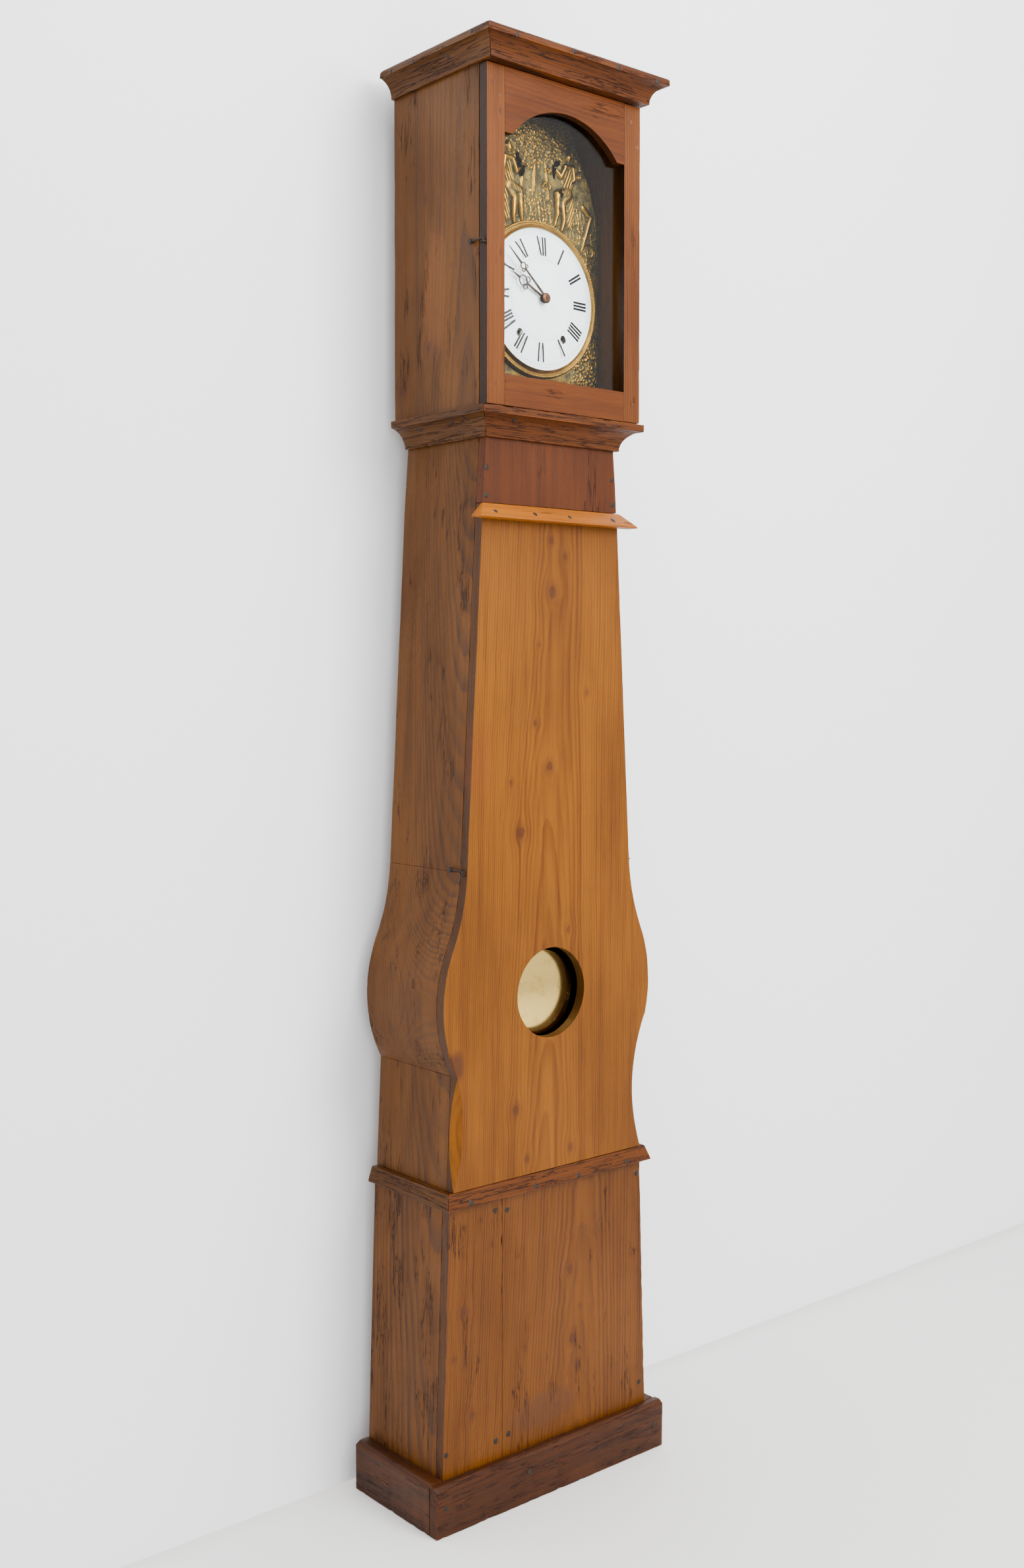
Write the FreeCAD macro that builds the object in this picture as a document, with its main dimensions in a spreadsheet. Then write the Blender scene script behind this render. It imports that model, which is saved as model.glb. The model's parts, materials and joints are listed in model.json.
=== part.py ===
import FreeCAD, Part
import math
import os

import Sketcher

# Longcase clock with a violin-shaped trunk. Millimetres, +Z up, +X to the viewer's right.
# The origin is the middle of the footprint on the floor, and the dial faces -Y.
# A depth is always counted forward from the flat back of the case.

doc = FreeCAD.newDocument("LongcaseClock")

# ---------------------------------------------------------------- driving dimensions
DIMENSIONS = {
    # heights of the case, stage by stage, and the levels that they add up to
    "plinth_height": 82.0,
    "base_height": 457.5,
    "lower_height": 182.5,
    "belly_rise": 110.0,
    "belly_height": 324.0,
    "flank_height": 586.0,
    "neck_height": 149.0,
    "dial_rise": 195.0,
    "brass_arch": 156.0,
    "brass_half": 143.0,
    "hood_headroom": 32.5,
    "hood_height": "dial_rise + brass_arch + brass_half + hood_headroom",
    "cornice_height": 42.5,
    "base_top": "plinth_height + base_height",
    "belly_foot": "base_top + lower_height",
    "belly_middle": "belly_foot + belly_rise",
    "belly_head": "belly_foot + belly_height",
    "trunk_front_top": "belly_head + flank_height",
    "hood_floor": "trunk_front_top + neck_height",
    "cornice_bottom": "hood_floor + hood_height",
    "total_height": "cornice_bottom + cornice_height",
    # half widths of the case, outside
    "plinth_half": 255.5,
    "base_foot_half": 231.0,
    "base_head_half": 213.0,
    "lower_half": 209.5,
    "belly_foot_half": 201.0,
    "belly_half": 229.0,
    "belly_radius": 230.0,
    "belly_head_half": 180.5,
    "neck_foot_half": 148.5,
    "neck_half": 140.5,
    "hood_room": 9.0,
    "side_board": 16.0,
    "hood_half": "brass_half + hood_room + side_board",
    # depths in front of the back plane
    "front_board": 18.0,
    "door_thickness": 18.0,
    "door_clearance": 1.5,
    "cornice_overhang": 39.5,
    "base_depth": 199.0,
    "plinth_depth": "base_depth + 19",
    "trunk_depth": "base_depth + 5",
    "hood_side_depth": "trunk_depth + 14",
    "hood_door_back": "hood_side_depth + door_clearance",
    "cornice_depth": "hood_door_back + door_thickness + cornice_overhang",
    # boards
    "back_board": 12.0,
    "plinth_bevel": 7.0,
    "seat_thickness": 20.0,
    "seat_depth": 130.0,
    "hood_top_thickness": 16.0,
    "joint_gap": 0.5,
    # mouldings
    "cornice_reach": 30.0,
    "cornice_foot": 6.5,
    "cornice_fillet": 13.0,
    "cornice_cove": 24.0,
    "hood_moulding_height": 45.0,
    "hood_moulding_reach": 36.5,
    "hood_moulding_foot": 7.0,
    "hood_moulding_fillet": 13.0,
    "base_moulding_height": 25.5,
    "base_moulding_ledge": 0.5,
    "base_moulding_tip": 14.0,
    "base_moulding_edge": 3.0,
    "strip_height": 25.0,
    "strip_reach": 25.0,
    "strip_edge": 3.0,
    "strip_shoulder": 3.0,
    "scoop_depth": 15.5,
    # hood door
    "stile_width": 37.0,
    "bottom_rail_height": 49.0,
    "arch_rise": 54.0,
    "arch_half": 114.0,
    "arch_head": 47.0,
    "rebate_depth": 5.0,
    "rebate_width": 8.0,
    "glass_thickness": 2.5,
    "base_joint": -103.0,
    "pendulum_window": 74.6,
    "window_height": "belly_middle + 3",
    # dial and hands
    "dial_height": "hood_floor + dial_rise",
    "dial_radius": 116.8,
    "dial_bulge": 6.0,
    "dial_thickness": 2.5,
    "dial_rim_depth": 174.0,
    "bezel_radius": 128.0,
    "bezel_lip": 115.0,
    "brass_foot": 131.0,
    "brass_back": 159.0,
    "brass_thickness": 9.0,
    "hole_across": 47.5,
    "hole_below": 59.0,
    "hole_radius": 6.0,
    "minute_hand_length": 108.0,
    "hour_hand_length": 78.0,
    "hour_hand_depth": 184.0,
    "minute_hand_depth": 188.0,
    "hand_thickness": 1.2,
    "hand_arbor_radius": 3.0,
    "hour_pipe_radius": 5.0,
    "running_gap": 0.05,
    # movement
    "movement_half": 118.0,
    "movement_back": 30.0,
    "movement_front": 124.0,
    "movement_height": 272.0,
    "plate_thickness": 4.0,
    "pillar_size": 10.0,
    "cage_inset": 1.0,
    "drum_radius": 22.0,
    "great_wheel_radius": 43.0,
    "barrel_arbor_radius": 4.0,
    "anchor_height": "hood_floor + 275",
    "escape_drop": 34.0,
    "escape_radius": 22.5,
    "bell_radius": 54.0,
    "bell_height": "anchor_height + 44",
    "bell_wall": 3.0,
    # pendulum and weights
    "pendulum_depth": 147.0,
    "bob_height": "belly_middle",
    "bob_radius": 70.0,
    "bob_back": "trunk_depth - 31",
    "bob_front": "trunk_depth - 22",
    "bob_rim": 3.0,
    "bob_boss": 14.0,
    "bob_boss_back": 3.0,
    "rod_width": 7.0,
    "rod_thickness": 3.0,
    "ring_radius": 12.0,
    "weight_radius": 36.0,
    "weight_height": 150.0,
    "weight_foot": 150.0,
    "weight_depth": 66.0,
    # ironwork
    "leaf_thickness": 1.5,
    "leaf_height": 40.0,
    "leaf_width": 20.0,
    "knuckle_radius": 3.5,
    "hinge_pin_radius": 1.5,
    "hood_hook_height": "hood_floor + 255",
    "trunk_hook_height": "belly_head + 3",
    "hook_wire": 1.4,
    "hook_length": 30.0,
}

dims = doc.addObject("Spreadsheet::Sheet", "Dims")
for row, (alias, value) in enumerate(DIMENSIONS.items(), start=1):
    dims.set("A%d" % row, alias)
    dims.set("B%d" % row, "=" + value if isinstance(value, str) else str(value))
    dims.setAlias("B%d" % row, alias)
doc.recompute()

PARTS = {}


def sheet(formula):
    """A formula over alias names, written for the expression engine."""
    words = formula.replace("(", " ( ").replace(")", " ) ").split()
    return " ".join("Dims." + word if word in DIMENSIONS else word for word in words)


def number(formula):
    """The present value of a formula over alias names."""
    return float(dims.evalExpression(sheet(formula)))


def keep(name, solid):
    """Give a finished piece its own name and list it for writing."""
    solid.Label = name
    PARTS[name] = solid
    return solid


def place(thing, across="0", depth="0", height="0"):
    """Bind a placement to the sheet: depth is counted forward from the back plane."""
    thing.setExpression("Placement.Base.x", sheet(across))
    thing.setExpression("Placement.Base.y", sheet("cornice_depth / 2 - ( " + depth + " )"))
    thing.setExpression("Placement.Base.z", sheet(height))


# ---------------------------------------------------------------- builders
def block(name, left, right, back, front, bottom, top, final=True):
    """A plain board: across from left to right, forward from back to front."""
    board = doc.addObject("Part::Box", name)
    board.setExpression("Length", sheet("( " + right + " ) - ( " + left + " )"))
    board.setExpression("Width", sheet("( " + front + " ) - ( " + back + " )"))
    board.setExpression("Height", sheet("( " + top + " ) - ( " + bottom + " )"))
    place(board, left, front, bottom)
    return keep(name, board) if final else board


def rod(name, radius, length, across, depth, height, axis="Z", final=True):
    """A round rod that starts at a point and runs up (Z), forward (Y) or right (X)."""
    bar = doc.addObject("Part::Cylinder", name)
    bar.setExpression("Radius", sheet(radius))
    bar.setExpression("Height", sheet(length))
    turns = {
        "Z": FreeCAD.Rotation(),
        "Y": FreeCAD.Rotation(FreeCAD.Vector(1, 0, 0), 90),
        "X": FreeCAD.Rotation(FreeCAD.Vector(0, 1, 0), 90),
    }
    bar.Placement = FreeCAD.Placement(FreeCAD.Vector(), turns[axis])
    place(bar, across, depth, height)
    return keep(name, bar) if final else bar


def join(name, pieces):
    """Several touching shapes made one piece."""
    union = doc.addObject("Part::MultiFuse", name)
    union.Shapes = pieces
    union.Refine = False
    return keep(name, union)


def group(name, pieces):
    """Identical fittings that share one node and stay separate solids."""
    cluster = doc.addObject("Part::Compound", name)
    cluster.Links = pieces
    return keep(name, cluster)


def cut(name, base, tool, final=True):
    result = doc.addObject("Part::Cut", name)
    result.Base = base
    result.Tool = tool
    return keep(name, result) if final else result


def origin_plane(body, role):
    for feature in body.Origin.OriginFeatures:
        if feature.Role == role:
            return feature
    raise ValueError(role)


def outline(body, role, name, corners, rounds=None):
    """A closed sketch through corners given as formula pairs.

    rounds maps the number of an edge to (radius formula, side), where side is +1 when
    the arc's centre lies to the left of the way from one corner to the next.
    """
    rounds = rounds or {}
    sketch = body.newObject("Sketcher::SketchObject", name)
    sketch.AttachmentSupport = [(origin_plane(body, role), "")]
    sketch.MapMode = "FlatFace"
    points = [FreeCAD.Vector(number(a), number(b), 0) for a, b in corners]
    count = len(points)
    ends = []
    for i in range(count):
        start = points[i]
        stop = points[(i + 1) % count]
        if i not in rounds:
            sketch.addGeometry(Part.LineSegment(start, stop))
            ends.append((1, 2))
            continue
        radius = number(rounds[i][0])
        side = rounds[i][1]
        chord = stop.sub(start)
        rise = math.sqrt(max(radius ** 2 - (chord.Length / 2) ** 2, 0.0))
        normal = FreeCAD.Vector(-chord.y, chord.x, 0).normalize()
        centre = start + chord * 0.5 + normal * (side * rise)
        circle = Part.Circle(centre, FreeCAD.Vector(0, 0, 1), radius)
        first, last = (start, stop) if side > 0 else (stop, start)
        sketch.addGeometry(Part.ArcOfCircle(circle, circle.parameter(first), circle.parameter(last)))
        ends.append((1, 2) if side > 0 else (2, 1))
    for i in range(count):
        before = (i - 1) % count
        sketch.addConstraint(Sketcher.Constraint("Coincident", before, ends[before][1], i, ends[i][0]))
        for kind, formula, value in (
            ("DistanceX", corners[i][0], points[i].x),
            ("DistanceY", corners[i][1], points[i].y),
        ):
            index = sketch.addConstraint(Sketcher.Constraint(kind, -1, 1, i, ends[i][0], value))
            sketch.setExpression("Constraints[%d]" % index, sheet(formula))
    for i, (formula, side) in rounds.items():
        index = sketch.addConstraint(Sketcher.Constraint("Radius", i, number(formula)))
        sketch.setExpression("Constraints[%d]" % index, sheet(formula))
    return sketch


def new_body(name):
    return doc.addObject("PartDesign::Body", name)


def pad(body, sketch, length, midplane=False):
    feature = body.newObject("PartDesign::Pad", sketch.Name + "_pad")
    feature.Profile = sketch
    feature.setExpression("Length", sheet(length))
    feature.Midplane = midplane
    sketch.Visibility = False
    doc.recompute()
    return feature


def pocket_through(body, sketch):
    """Cut a sketch right through the body, both ways from its plane."""
    before = body.Shape.Volume
    feature = body.newObject("PartDesign::Pocket", sketch.Name + "_pocket")
    feature.Profile = sketch
    feature.Type = "ThroughAll"
    feature.Midplane = True
    doc.recompute()
    if not body.Shape.Volume < before - 0.01:
        raise ValueError("nothing cut by " + sketch.Name)
    return feature


def pocket_back(body, sketch, depth):
    """Cut a sketch on the body's back plane forward by a depth."""
    before = body.Shape.Volume
    feature = body.newObject("PartDesign::Pocket", sketch.Name + "_pocket")
    feature.Profile = sketch
    feature.setExpression("Length", sheet(depth))
    feature.Reversed = True
    doc.recompute()
    if not body.Shape.Volume < before - 0.01:
        raise ValueError("nothing cut by " + sketch.Name)
    return feature


def front_board(name, corners, thickness, back, rounds=None):
    """A board cut to an outline in the XZ plane and standing at a depth."""
    body = new_body(name)
    pad(body, outline(body, "XZ_Plane", name + "_outline", corners, rounds), thickness)
    place(body, "0", back, "0")
    return keep(name, body)


def mirrored(points, rounds=None):
    """Corners and rounds of a left-hand outline, from those of the right-hand one."""
    flipped = [("0 - ( " + a + " )", b) for a, b in points]
    turned = {i: (radius, -side) for i, (radius, side) in (rounds or {}).items()}
    return flipped, turned


# ---------------------------------------------------------------- violin outline of the trunk
# One large circle makes the belly. A hollow arc leads into it from the straight flank
# above, and touches both: its radius and its meeting point follow from that.
def touch(part):
    """Where the hollow arc meets the belly circle: its radius, half width or height."""
    big = number("belly_radius")
    centre_x = number("belly_half") - big
    centre_z = number("belly_middle")
    head_x = number("belly_head_half")
    head_z = number("belly_head")
    run = FreeCAD.Vector(head_x - number("neck_foot_half"), head_z - number("trunk_front_top"), 0)
    run.normalize()
    outward = FreeCAD.Vector(-run.y, run.x, 0)
    away = FreeCAD.Vector(head_x - centre_x, head_z - centre_z, 0)
    hollow = (away.dot(away) - big ** 2) / (2 * (big - outward.dot(away)))
    hollow_centre = FreeCAD.Vector(head_x, head_z, 0) + outward * hollow
    lean = hollow_centre - FreeCAD.Vector(centre_x, centre_z, 0)
    lean.normalize()
    found = {
        "radius": hollow,
        "half": centre_x + big * lean.x,
        "height": centre_z + big * lean.y,
    }
    return found[part]


row = len(DIMENSIONS) + 1
for alias, value in (
    ("hollow_radius", touch("radius")),
    ("hollow_half", touch("half")),
    ("hollow_height", touch("height")),
):
    dims.set("A%d" % row, alias)
    dims.set("B%d" % row, repr(value))
    dims.setAlias("B%d" % row, alias)
    DIMENSIONS[alias] = value
    row += 1
doc.recompute()

# Half width of the straight flank at any height, and of the lower flank.
NECK_LEAN = "( ( neck_foot_half - neck_half ) / ( hood_floor - hood_moulding_height - trunk_front_top ) )"
NECK_TOP = "( hood_floor - hood_moulding_height )"
HOOD_FLOOR_HALF = "( neck_half - " + NECK_LEAN + " * hood_moulding_height )"


# ---------------------------------------------------------------- trunk sides
FLANK_BACK = "0"
FLANK_FRONT = "( trunk_depth - front_board )"


def flank(name, corners, rounds=None, left=False):
    """A side board of the trunk: its outline in XZ runs from the back to the front board."""
    if left:
        corners, rounds = mirrored(corners, rounds)
    return front_board(name, corners, FLANK_FRONT, FLANK_BACK, rounds)


UPPER_SIDE = [
    ("belly_head_half", "belly_head"),
    ("neck_foot_half", "trunk_front_top"),
    ("neck_half", NECK_TOP),
    (HOOD_FLOOR_HALF, "hood_floor"),
    (HOOD_FLOOR_HALF + " - side_board", "hood_floor"),
    ("neck_half - side_board", NECK_TOP),
    ("neck_foot_half - side_board", "trunk_front_top"),
    ("belly_head_half - side_board", "belly_head"),
]
BELLY_SIDE = [
    ("belly_head_half", "belly_head"),
    ("hollow_half", "hollow_height"),
    ("belly_foot_half", "belly_foot"),
    ("belly_foot_half - side_board", "belly_foot"),
    ("hollow_half - side_board", "hollow_height"),
    ("belly_head_half - side_board", "belly_head"),
]
BELLY_ROUNDS = {
    0: ("hollow_radius", 1),
    1: ("belly_radius", -1),
    3: ("belly_radius", 1),
    4: ("hollow_radius", -1),
}
LOWER_SIDE = [
    ("belly_foot_half", "belly_foot"),
    ("lower_half", "base_top"),
    ("lower_half - side_board", "base_top"),
    ("belly_foot_half - side_board", "belly_foot"),
]
for side_name, is_left in (("left", True), ("right", False)):
    flank("trunk_side_" + side_name, UPPER_SIDE, None, is_left)
    flank("belly_side_" + side_name, BELLY_SIDE, BELLY_ROUNDS, is_left)
    flank("lower_side_" + side_name, LOWER_SIDE, None, is_left)

# ---------------------------------------------------------------- back boards
BACK_RIGHT = [
    ("base_foot_half - side_board", "0"),
    ("base_head_half - side_board", "base_top"),
    ("lower_half - side_board", "base_top"),
    ("belly_foot_half - side_board", "belly_foot"),
    ("hollow_half - side_board", "hollow_height"),
    ("belly_head_half - side_board", "belly_head"),
    ("neck_foot_half - side_board", "trunk_front_top"),
    ("neck_half - side_board", NECK_TOP),
    (HOOD_FLOOR_HALF + " - side_board", "hood_floor"),
]
BACK_ROUNDS = {3: ("belly_radius", 1), 4: ("hollow_radius", -1)}


def whole_outline(right, rounds):
    """A symmetric outline from its right-hand corners, listed from the foot up."""
    left, turned = mirrored(right, rounds)
    corners = right + left[::-1]
    total = len(corners)
    both = dict(rounds)
    for i, (radius, side) in rounds.items():
        both[total - 2 - i] = (radius, side)
    return corners, both


back_corners, back_rounds = whole_outline(BACK_RIGHT, BACK_ROUNDS)
front_board("case_back_board", back_corners, "back_board", "0", back_rounds)
block(
    "hood_back_board",
    "side_board - hood_half",
    "hood_half - side_board",
    "0",
    "back_board",
    "hood_floor",
    "total_height - hood_top_thickness",
)

# ---------------------------------------------------------------- neck panel
NECK_RIGHT = [
    ("neck_foot_half", "trunk_front_top + joint_gap"),
    ("neck_half", NECK_TOP),
    (HOOD_FLOOR_HALF, "hood_floor"),
]
neck_corners, neck_rounds = whole_outline(NECK_RIGHT, {})
front_board("neck_panel", neck_corners, "front_board", FLANK_FRONT, neck_rounds)

# ---------------------------------------------------------------- lift-off trunk front
# The whole front of the trunk is one board. Hooks on both sides hold it, and its foot
# stands on the base moulding. The lower corners are scooped to a lens-shaped hollow.
FRONT_RIGHT = [
    ("lower_half", "base_top + joint_gap"),
    ("belly_foot_half", "belly_foot"),
    ("hollow_half", "hollow_height"),
    ("belly_head_half", "belly_head"),
    ("neck_foot_half", "trunk_front_top"),
]
FRONT_ROUNDS = {1: ("belly_radius", 1), 2: ("hollow_radius", -1)}
front_corners, front_rounds = whole_outline(FRONT_RIGHT, FRONT_ROUNDS)
trunk_front = new_body("trunk_front_blank")
pad(
    trunk_front,
    outline(trunk_front, "XZ_Plane", "trunk_front_outline", front_corners, front_rounds),
    "front_board - joint_gap",
)
window = trunk_front.newObject("Sketcher::SketchObject", "pendulum_window_sketch")
window.AttachmentSupport = [(origin_plane(trunk_front, "XZ_Plane"), "")]
window.MapMode = "FlatFace"
window.addGeometry(
    Part.Circle(
        FreeCAD.Vector(0, number("window_height"), 0),
        FreeCAD.Vector(0, 0, 1),
        number("pendulum_window"),
    )
)
window.addConstraint(Sketcher.Constraint("PointOnObject", 0, 3, -2))
high = window.addConstraint(Sketcher.Constraint("DistanceY", -1, 1, 0, 3, number("window_height")))
window.setExpression("Constraints[%d]" % high, sheet("window_height"))
wide = window.addConstraint(Sketcher.Constraint("Radius", 0, number("pendulum_window")))
window.setExpression("Constraints[%d]" % wide, sheet("pendulum_window"))
pocket_through(trunk_front, window)
place(trunk_front, "0", FLANK_FRONT + " + joint_gap", "0")


def scoop(name, left):
    """A large lying drum whose flank hollows the corner between front and side."""
    height = number("belly_foot") - number("base_top")
    depth = number("scoop_depth") * math.sin(math.radians(45))
    radius = ((height / 2) ** 2 + depth ** 2) / (2 * depth)
    sign = -1 if left else 1
    corner_x = sign * (number("belly_foot_half") + number("lower_half")) / 2
    corner_y = number("cornice_depth") / 2 - number("trunk_depth")
    reach = radius - depth
    outward = FreeCAD.Vector(sign, -1, 0).normalize()
    along = FreeCAD.Vector(sign, 1, 0).normalize()
    middle = FreeCAD.Vector(corner_x, corner_y, (number("belly_foot") + number("base_top")) / 2)
    lean = math.degrees(math.atan2(number("lower_half") - number("belly_foot_half"), height))
    centre = middle + outward * reach - along * 60.0
    drum = Part.makeCylinder(radius, 120.0, centre, along)
    drum.rotate(middle, FreeCAD.Vector(0, 1, 0), -sign * lean)
    feature = doc.addObject("Part::Feature", name)
    feature.Shape = drum
    return feature


carved = cut("trunk_front_left_carved", trunk_front, scoop("scoop_left", True), final=False)
cut("trunk_front_board", carved, scoop("scoop_right", False))

# The bevelled strip nailed across the top of the trunk front.
strip = new_body("trunk_front_strip")
strip_profile = [
    ("cornice_depth / 2 - trunk_depth", "trunk_front_top - strip_height"),
    ("cornice_depth / 2 - trunk_depth - strip_reach", "trunk_front_top - strip_height"),
    ("cornice_depth / 2 - trunk_depth - strip_reach", "trunk_front_top - strip_height + strip_edge"),
    ("cornice_depth / 2 - trunk_depth - strip_shoulder", "trunk_front_top"),
    ("cornice_depth / 2 - trunk_depth", "trunk_front_top"),
]
pad(
    strip,
    outline(strip, "YZ_Plane", "strip_profile", strip_profile),
    "( neck_foot_half + strip_reach ) * 2",
    midplane=True,
)
for side_name, sign in (("left", "0 - "), ("right", "0 + ")):
    bevel = outline(
        strip,
        "XZ_Plane",
        "strip_bevel_" + side_name,
        [
            (sign + "( neck_foot_half + strip_reach )", "trunk_front_top - strip_height + strip_edge"),
            (sign + "( neck_foot_half + strip_reach * 2 )", "trunk_front_top - strip_height + strip_edge"),
            (sign + "( neck_foot_half + strip_reach * 2 )", "trunk_front_top + strip_edge"),
            (sign + "( neck_foot_half + strip_shoulder )", "trunk_front_top + strip_edge"),
            (sign + "( neck_foot_half + strip_shoulder )", "trunk_front_top"),
        ],
    )
    pocket_through(strip, bevel)
keep("trunk_front_strip", strip)

# ---------------------------------------------------------------- base and plinth
base_side_corners = [
    ("base_foot_half", "0"),
    ("base_head_half", "base_top"),
    ("base_head_half - side_board", "base_top"),
    ("base_foot_half - side_board", "0"),
]
for side_name, is_left in (("left", True), ("right", False)):
    corners = mirrored(base_side_corners)[0] if is_left else base_side_corners
    front_board("base_side_" + side_name, corners, "base_depth - front_board", "0")
BASE_FRONT_BACK = "( base_depth - front_board )"
front_board(
    "base_front_narrow_board",
    [
        ("0 - base_foot_half", "0"),
        ("base_joint", "0"),
        ("base_joint", "base_top"),
        ("0 - base_head_half", "base_top"),
    ],
    "front_board",
    BASE_FRONT_BACK,
)
front_board(
    "base_front_wide_board",
    [
        ("base_joint", "0"),
        ("base_foot_half", "0"),
        ("base_head_half", "base_top"),
        ("base_joint", "base_top"),
    ],
    "front_board",
    BASE_FRONT_BACK,
)

PLINTH_TOP_HALF = "( base_foot_half - ( base_foot_half - base_head_half ) * plinth_height / base_top )"


def plinth_side(name, left):
    """A plinth board beside the base, scribed to its sloping side, with a bevelled top edge."""
    corners = [
        ("base_foot_half", "0"),
        ("plinth_half", "0"),
        ("plinth_half", "plinth_height - plinth_bevel"),
        ("plinth_half - plinth_bevel", "plinth_height"),
        (PLINTH_TOP_HALF, "plinth_height"),
    ]
    if left:
        corners = mirrored(corners)[0]
    return front_board(name, corners, "base_depth", "0")


plinth_side("plinth_left", True)
plinth_side("plinth_right", False)
plinth_front = new_body("plinth_front")
plinth_profile = [
    ("cornice_depth / 2 - base_depth", "0"),
    ("cornice_depth / 2 - plinth_depth", "0"),
    ("cornice_depth / 2 - plinth_depth", "plinth_height - plinth_bevel"),
    ("cornice_depth / 2 - plinth_depth + plinth_bevel", "plinth_height"),
    ("cornice_depth / 2 - base_depth", "plinth_height"),
]
pad(
    plinth_front,
    outline(plinth_front, "YZ_Plane", "plinth_profile", plinth_profile),
    "plinth_half * 2",
    midplane=True,
)
keep("plinth_front", plinth_front)


# ---------------------------------------------------------------- mitred mouldings
def moulding(stem, half, depth, profile, rounds, reach, tongue=()):
    """Front, left and right lengths of one moulding that meet in mitres.

    half and depth are the case's own half width and depth behind the moulding, profile
    is a list of (reach outward, height), and the front piece's back is at depth, or at
    the tongue, which only the front piece has.
    """
    front = new_body(stem + "_front")
    whole = list(profile) + list(tongue)
    corners = [("cornice_depth / 2 - " + depth + " - ( " + a + " )", b) for a, b in whole]
    turned = {i: (radius, -side) for i, (radius, side) in rounds.items()}
    pad(
        front,
        outline(front, "YZ_Plane", stem + "_front_profile", corners, turned),
        "( " + half + " + " + reach + " ) * 2",
        midplane=True,
    )
    for side_name, sign in (("left", "0 - "), ("right", "0 + ")):
        mitre = outline(
            front,
            "XY_Plane",
            stem + "_front_mitre_" + side_name,
            [
                (sign + "( " + half + " )", "cornice_depth / 2"),
                (sign + "( " + half + " )", "cornice_depth / 2 - " + depth),
                (
                    sign + "( " + half + " + " + reach + " * 2 )",
                    "cornice_depth / 2 - " + depth + " - " + reach + " * 2",
                ),
                (sign + "( " + half + " + " + reach + " * 2 )", "cornice_depth / 2"),
            ],
        )
        pocket_through(front, mitre)
    keep(stem + "_front", front)
    for side_name, is_left in (("left", True), ("right", False)):
        sign = "0 - " if is_left else "0 + "
        piece = new_body(stem + "_" + side_name)
        corners = [(half + " + ( " + a + " )", b) for a, b in profile]
        arcs = rounds
        if is_left:
            corners, arcs = mirrored(corners, rounds)
        pad(
            piece,
            outline(piece, "XZ_Plane", stem + "_" + side_name + "_profile", corners, arcs),
            depth + " + " + reach,
        )
        mitre = outline(
            piece,
            "XY_Plane",
            stem + "_" + side_name + "_mitre",
            [
                (sign + "( " + half + " - 1 )", "0 - " + depth + " + 1"),
                (sign + "( " + half + " + " + reach + " * 2 )", "0 - " + depth + " - " + reach + " * 2"),
                (sign + "( " + half + " - 1 )", "0 - " + depth + " - " + reach + " * 2"),
            ],
        )
        pocket_through(piece, mitre)
        place(piece, "0", "0", "0")
        keep(stem + "_" + side_name, piece)


CORNICE_BACK = "( cornice_depth - cornice_reach )"
moulding(
    "cornice",
    "hood_half",
    CORNICE_BACK,
    [
        ("0", "cornice_bottom"),
        ("cornice_foot", "cornice_bottom"),
        ("cornice_foot", "cornice_bottom + 4"),
        ("cornice_reach - 3", "total_height - cornice_fillet"),
        ("cornice_reach", "total_height - cornice_fillet"),
        ("cornice_reach", "total_height - 5"),
        ("cornice_reach - 5", "total_height"),
        ("0", "total_height"),
    ],
    {2: ("cornice_cove + 4", -1), 5: ("5", 1)},
    "cornice_reach",
    [
        ("0", "total_height - hood_top_thickness"),
        ("hood_side_depth - " + CORNICE_BACK, "total_height - hood_top_thickness"),
        ("hood_side_depth - " + CORNICE_BACK, "cornice_bottom"),
    ],
)
HOOD_MOULDING_BOTTOM = "( hood_floor - hood_moulding_height )"
moulding(
    "hood_moulding",
    "neck_half",
    "trunk_depth",
    [
        ("0", HOOD_MOULDING_BOTTOM),
        ("hood_moulding_foot", HOOD_MOULDING_BOTTOM),
        ("hood_moulding_foot", HOOD_MOULDING_BOTTOM + " + 4"),
        ("hood_moulding_reach - 3", "hood_floor - hood_moulding_fillet"),
        ("hood_moulding_reach", "hood_floor - hood_moulding_fillet"),
        ("hood_moulding_reach", "hood_floor"),
        ("0", "hood_floor"),
    ],
    {2: ("hood_moulding_height * 0.72", -1)},
    "hood_moulding_reach",
)
BASE_MOULDING_BOTTOM = "( base_top - base_moulding_height )"
BASE_SIDE_AT_MOULDING = (
    "( base_head_half + ( base_foot_half - base_head_half ) * base_moulding_height / base_top )"
)
moulding(
    "base_moulding",
    BASE_SIDE_AT_MOULDING,
    "base_depth",
    [
        ("0", BASE_MOULDING_BOTTOM),
        ("base_moulding_tip", BASE_MOULDING_BOTTOM),
        ("base_moulding_tip", BASE_MOULDING_BOTTOM + " + base_moulding_edge"),
        ("base_moulding_ledge + 5.5", "base_top"),
        ("0", "base_top"),
    ],
    {},
    "base_moulding_tip",
)

# ---------------------------------------------------------------- hood
for side_name, left_edge, right_edge in (
    ("left", "0 - hood_half", "side_board - hood_half"),
    ("right", "hood_half - side_board", "hood_half"),
):
    block(
        "hood_side_" + side_name,
        left_edge,
        right_edge,
        "0",
        "hood_side_depth",
        "hood_floor",
        "total_height - hood_top_thickness",
    )
block(
    "hood_top_board",
    "0 - hood_half",
    "hood_half",
    "0",
    CORNICE_BACK,
    "total_height - hood_top_thickness",
    "total_height",
)

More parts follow.
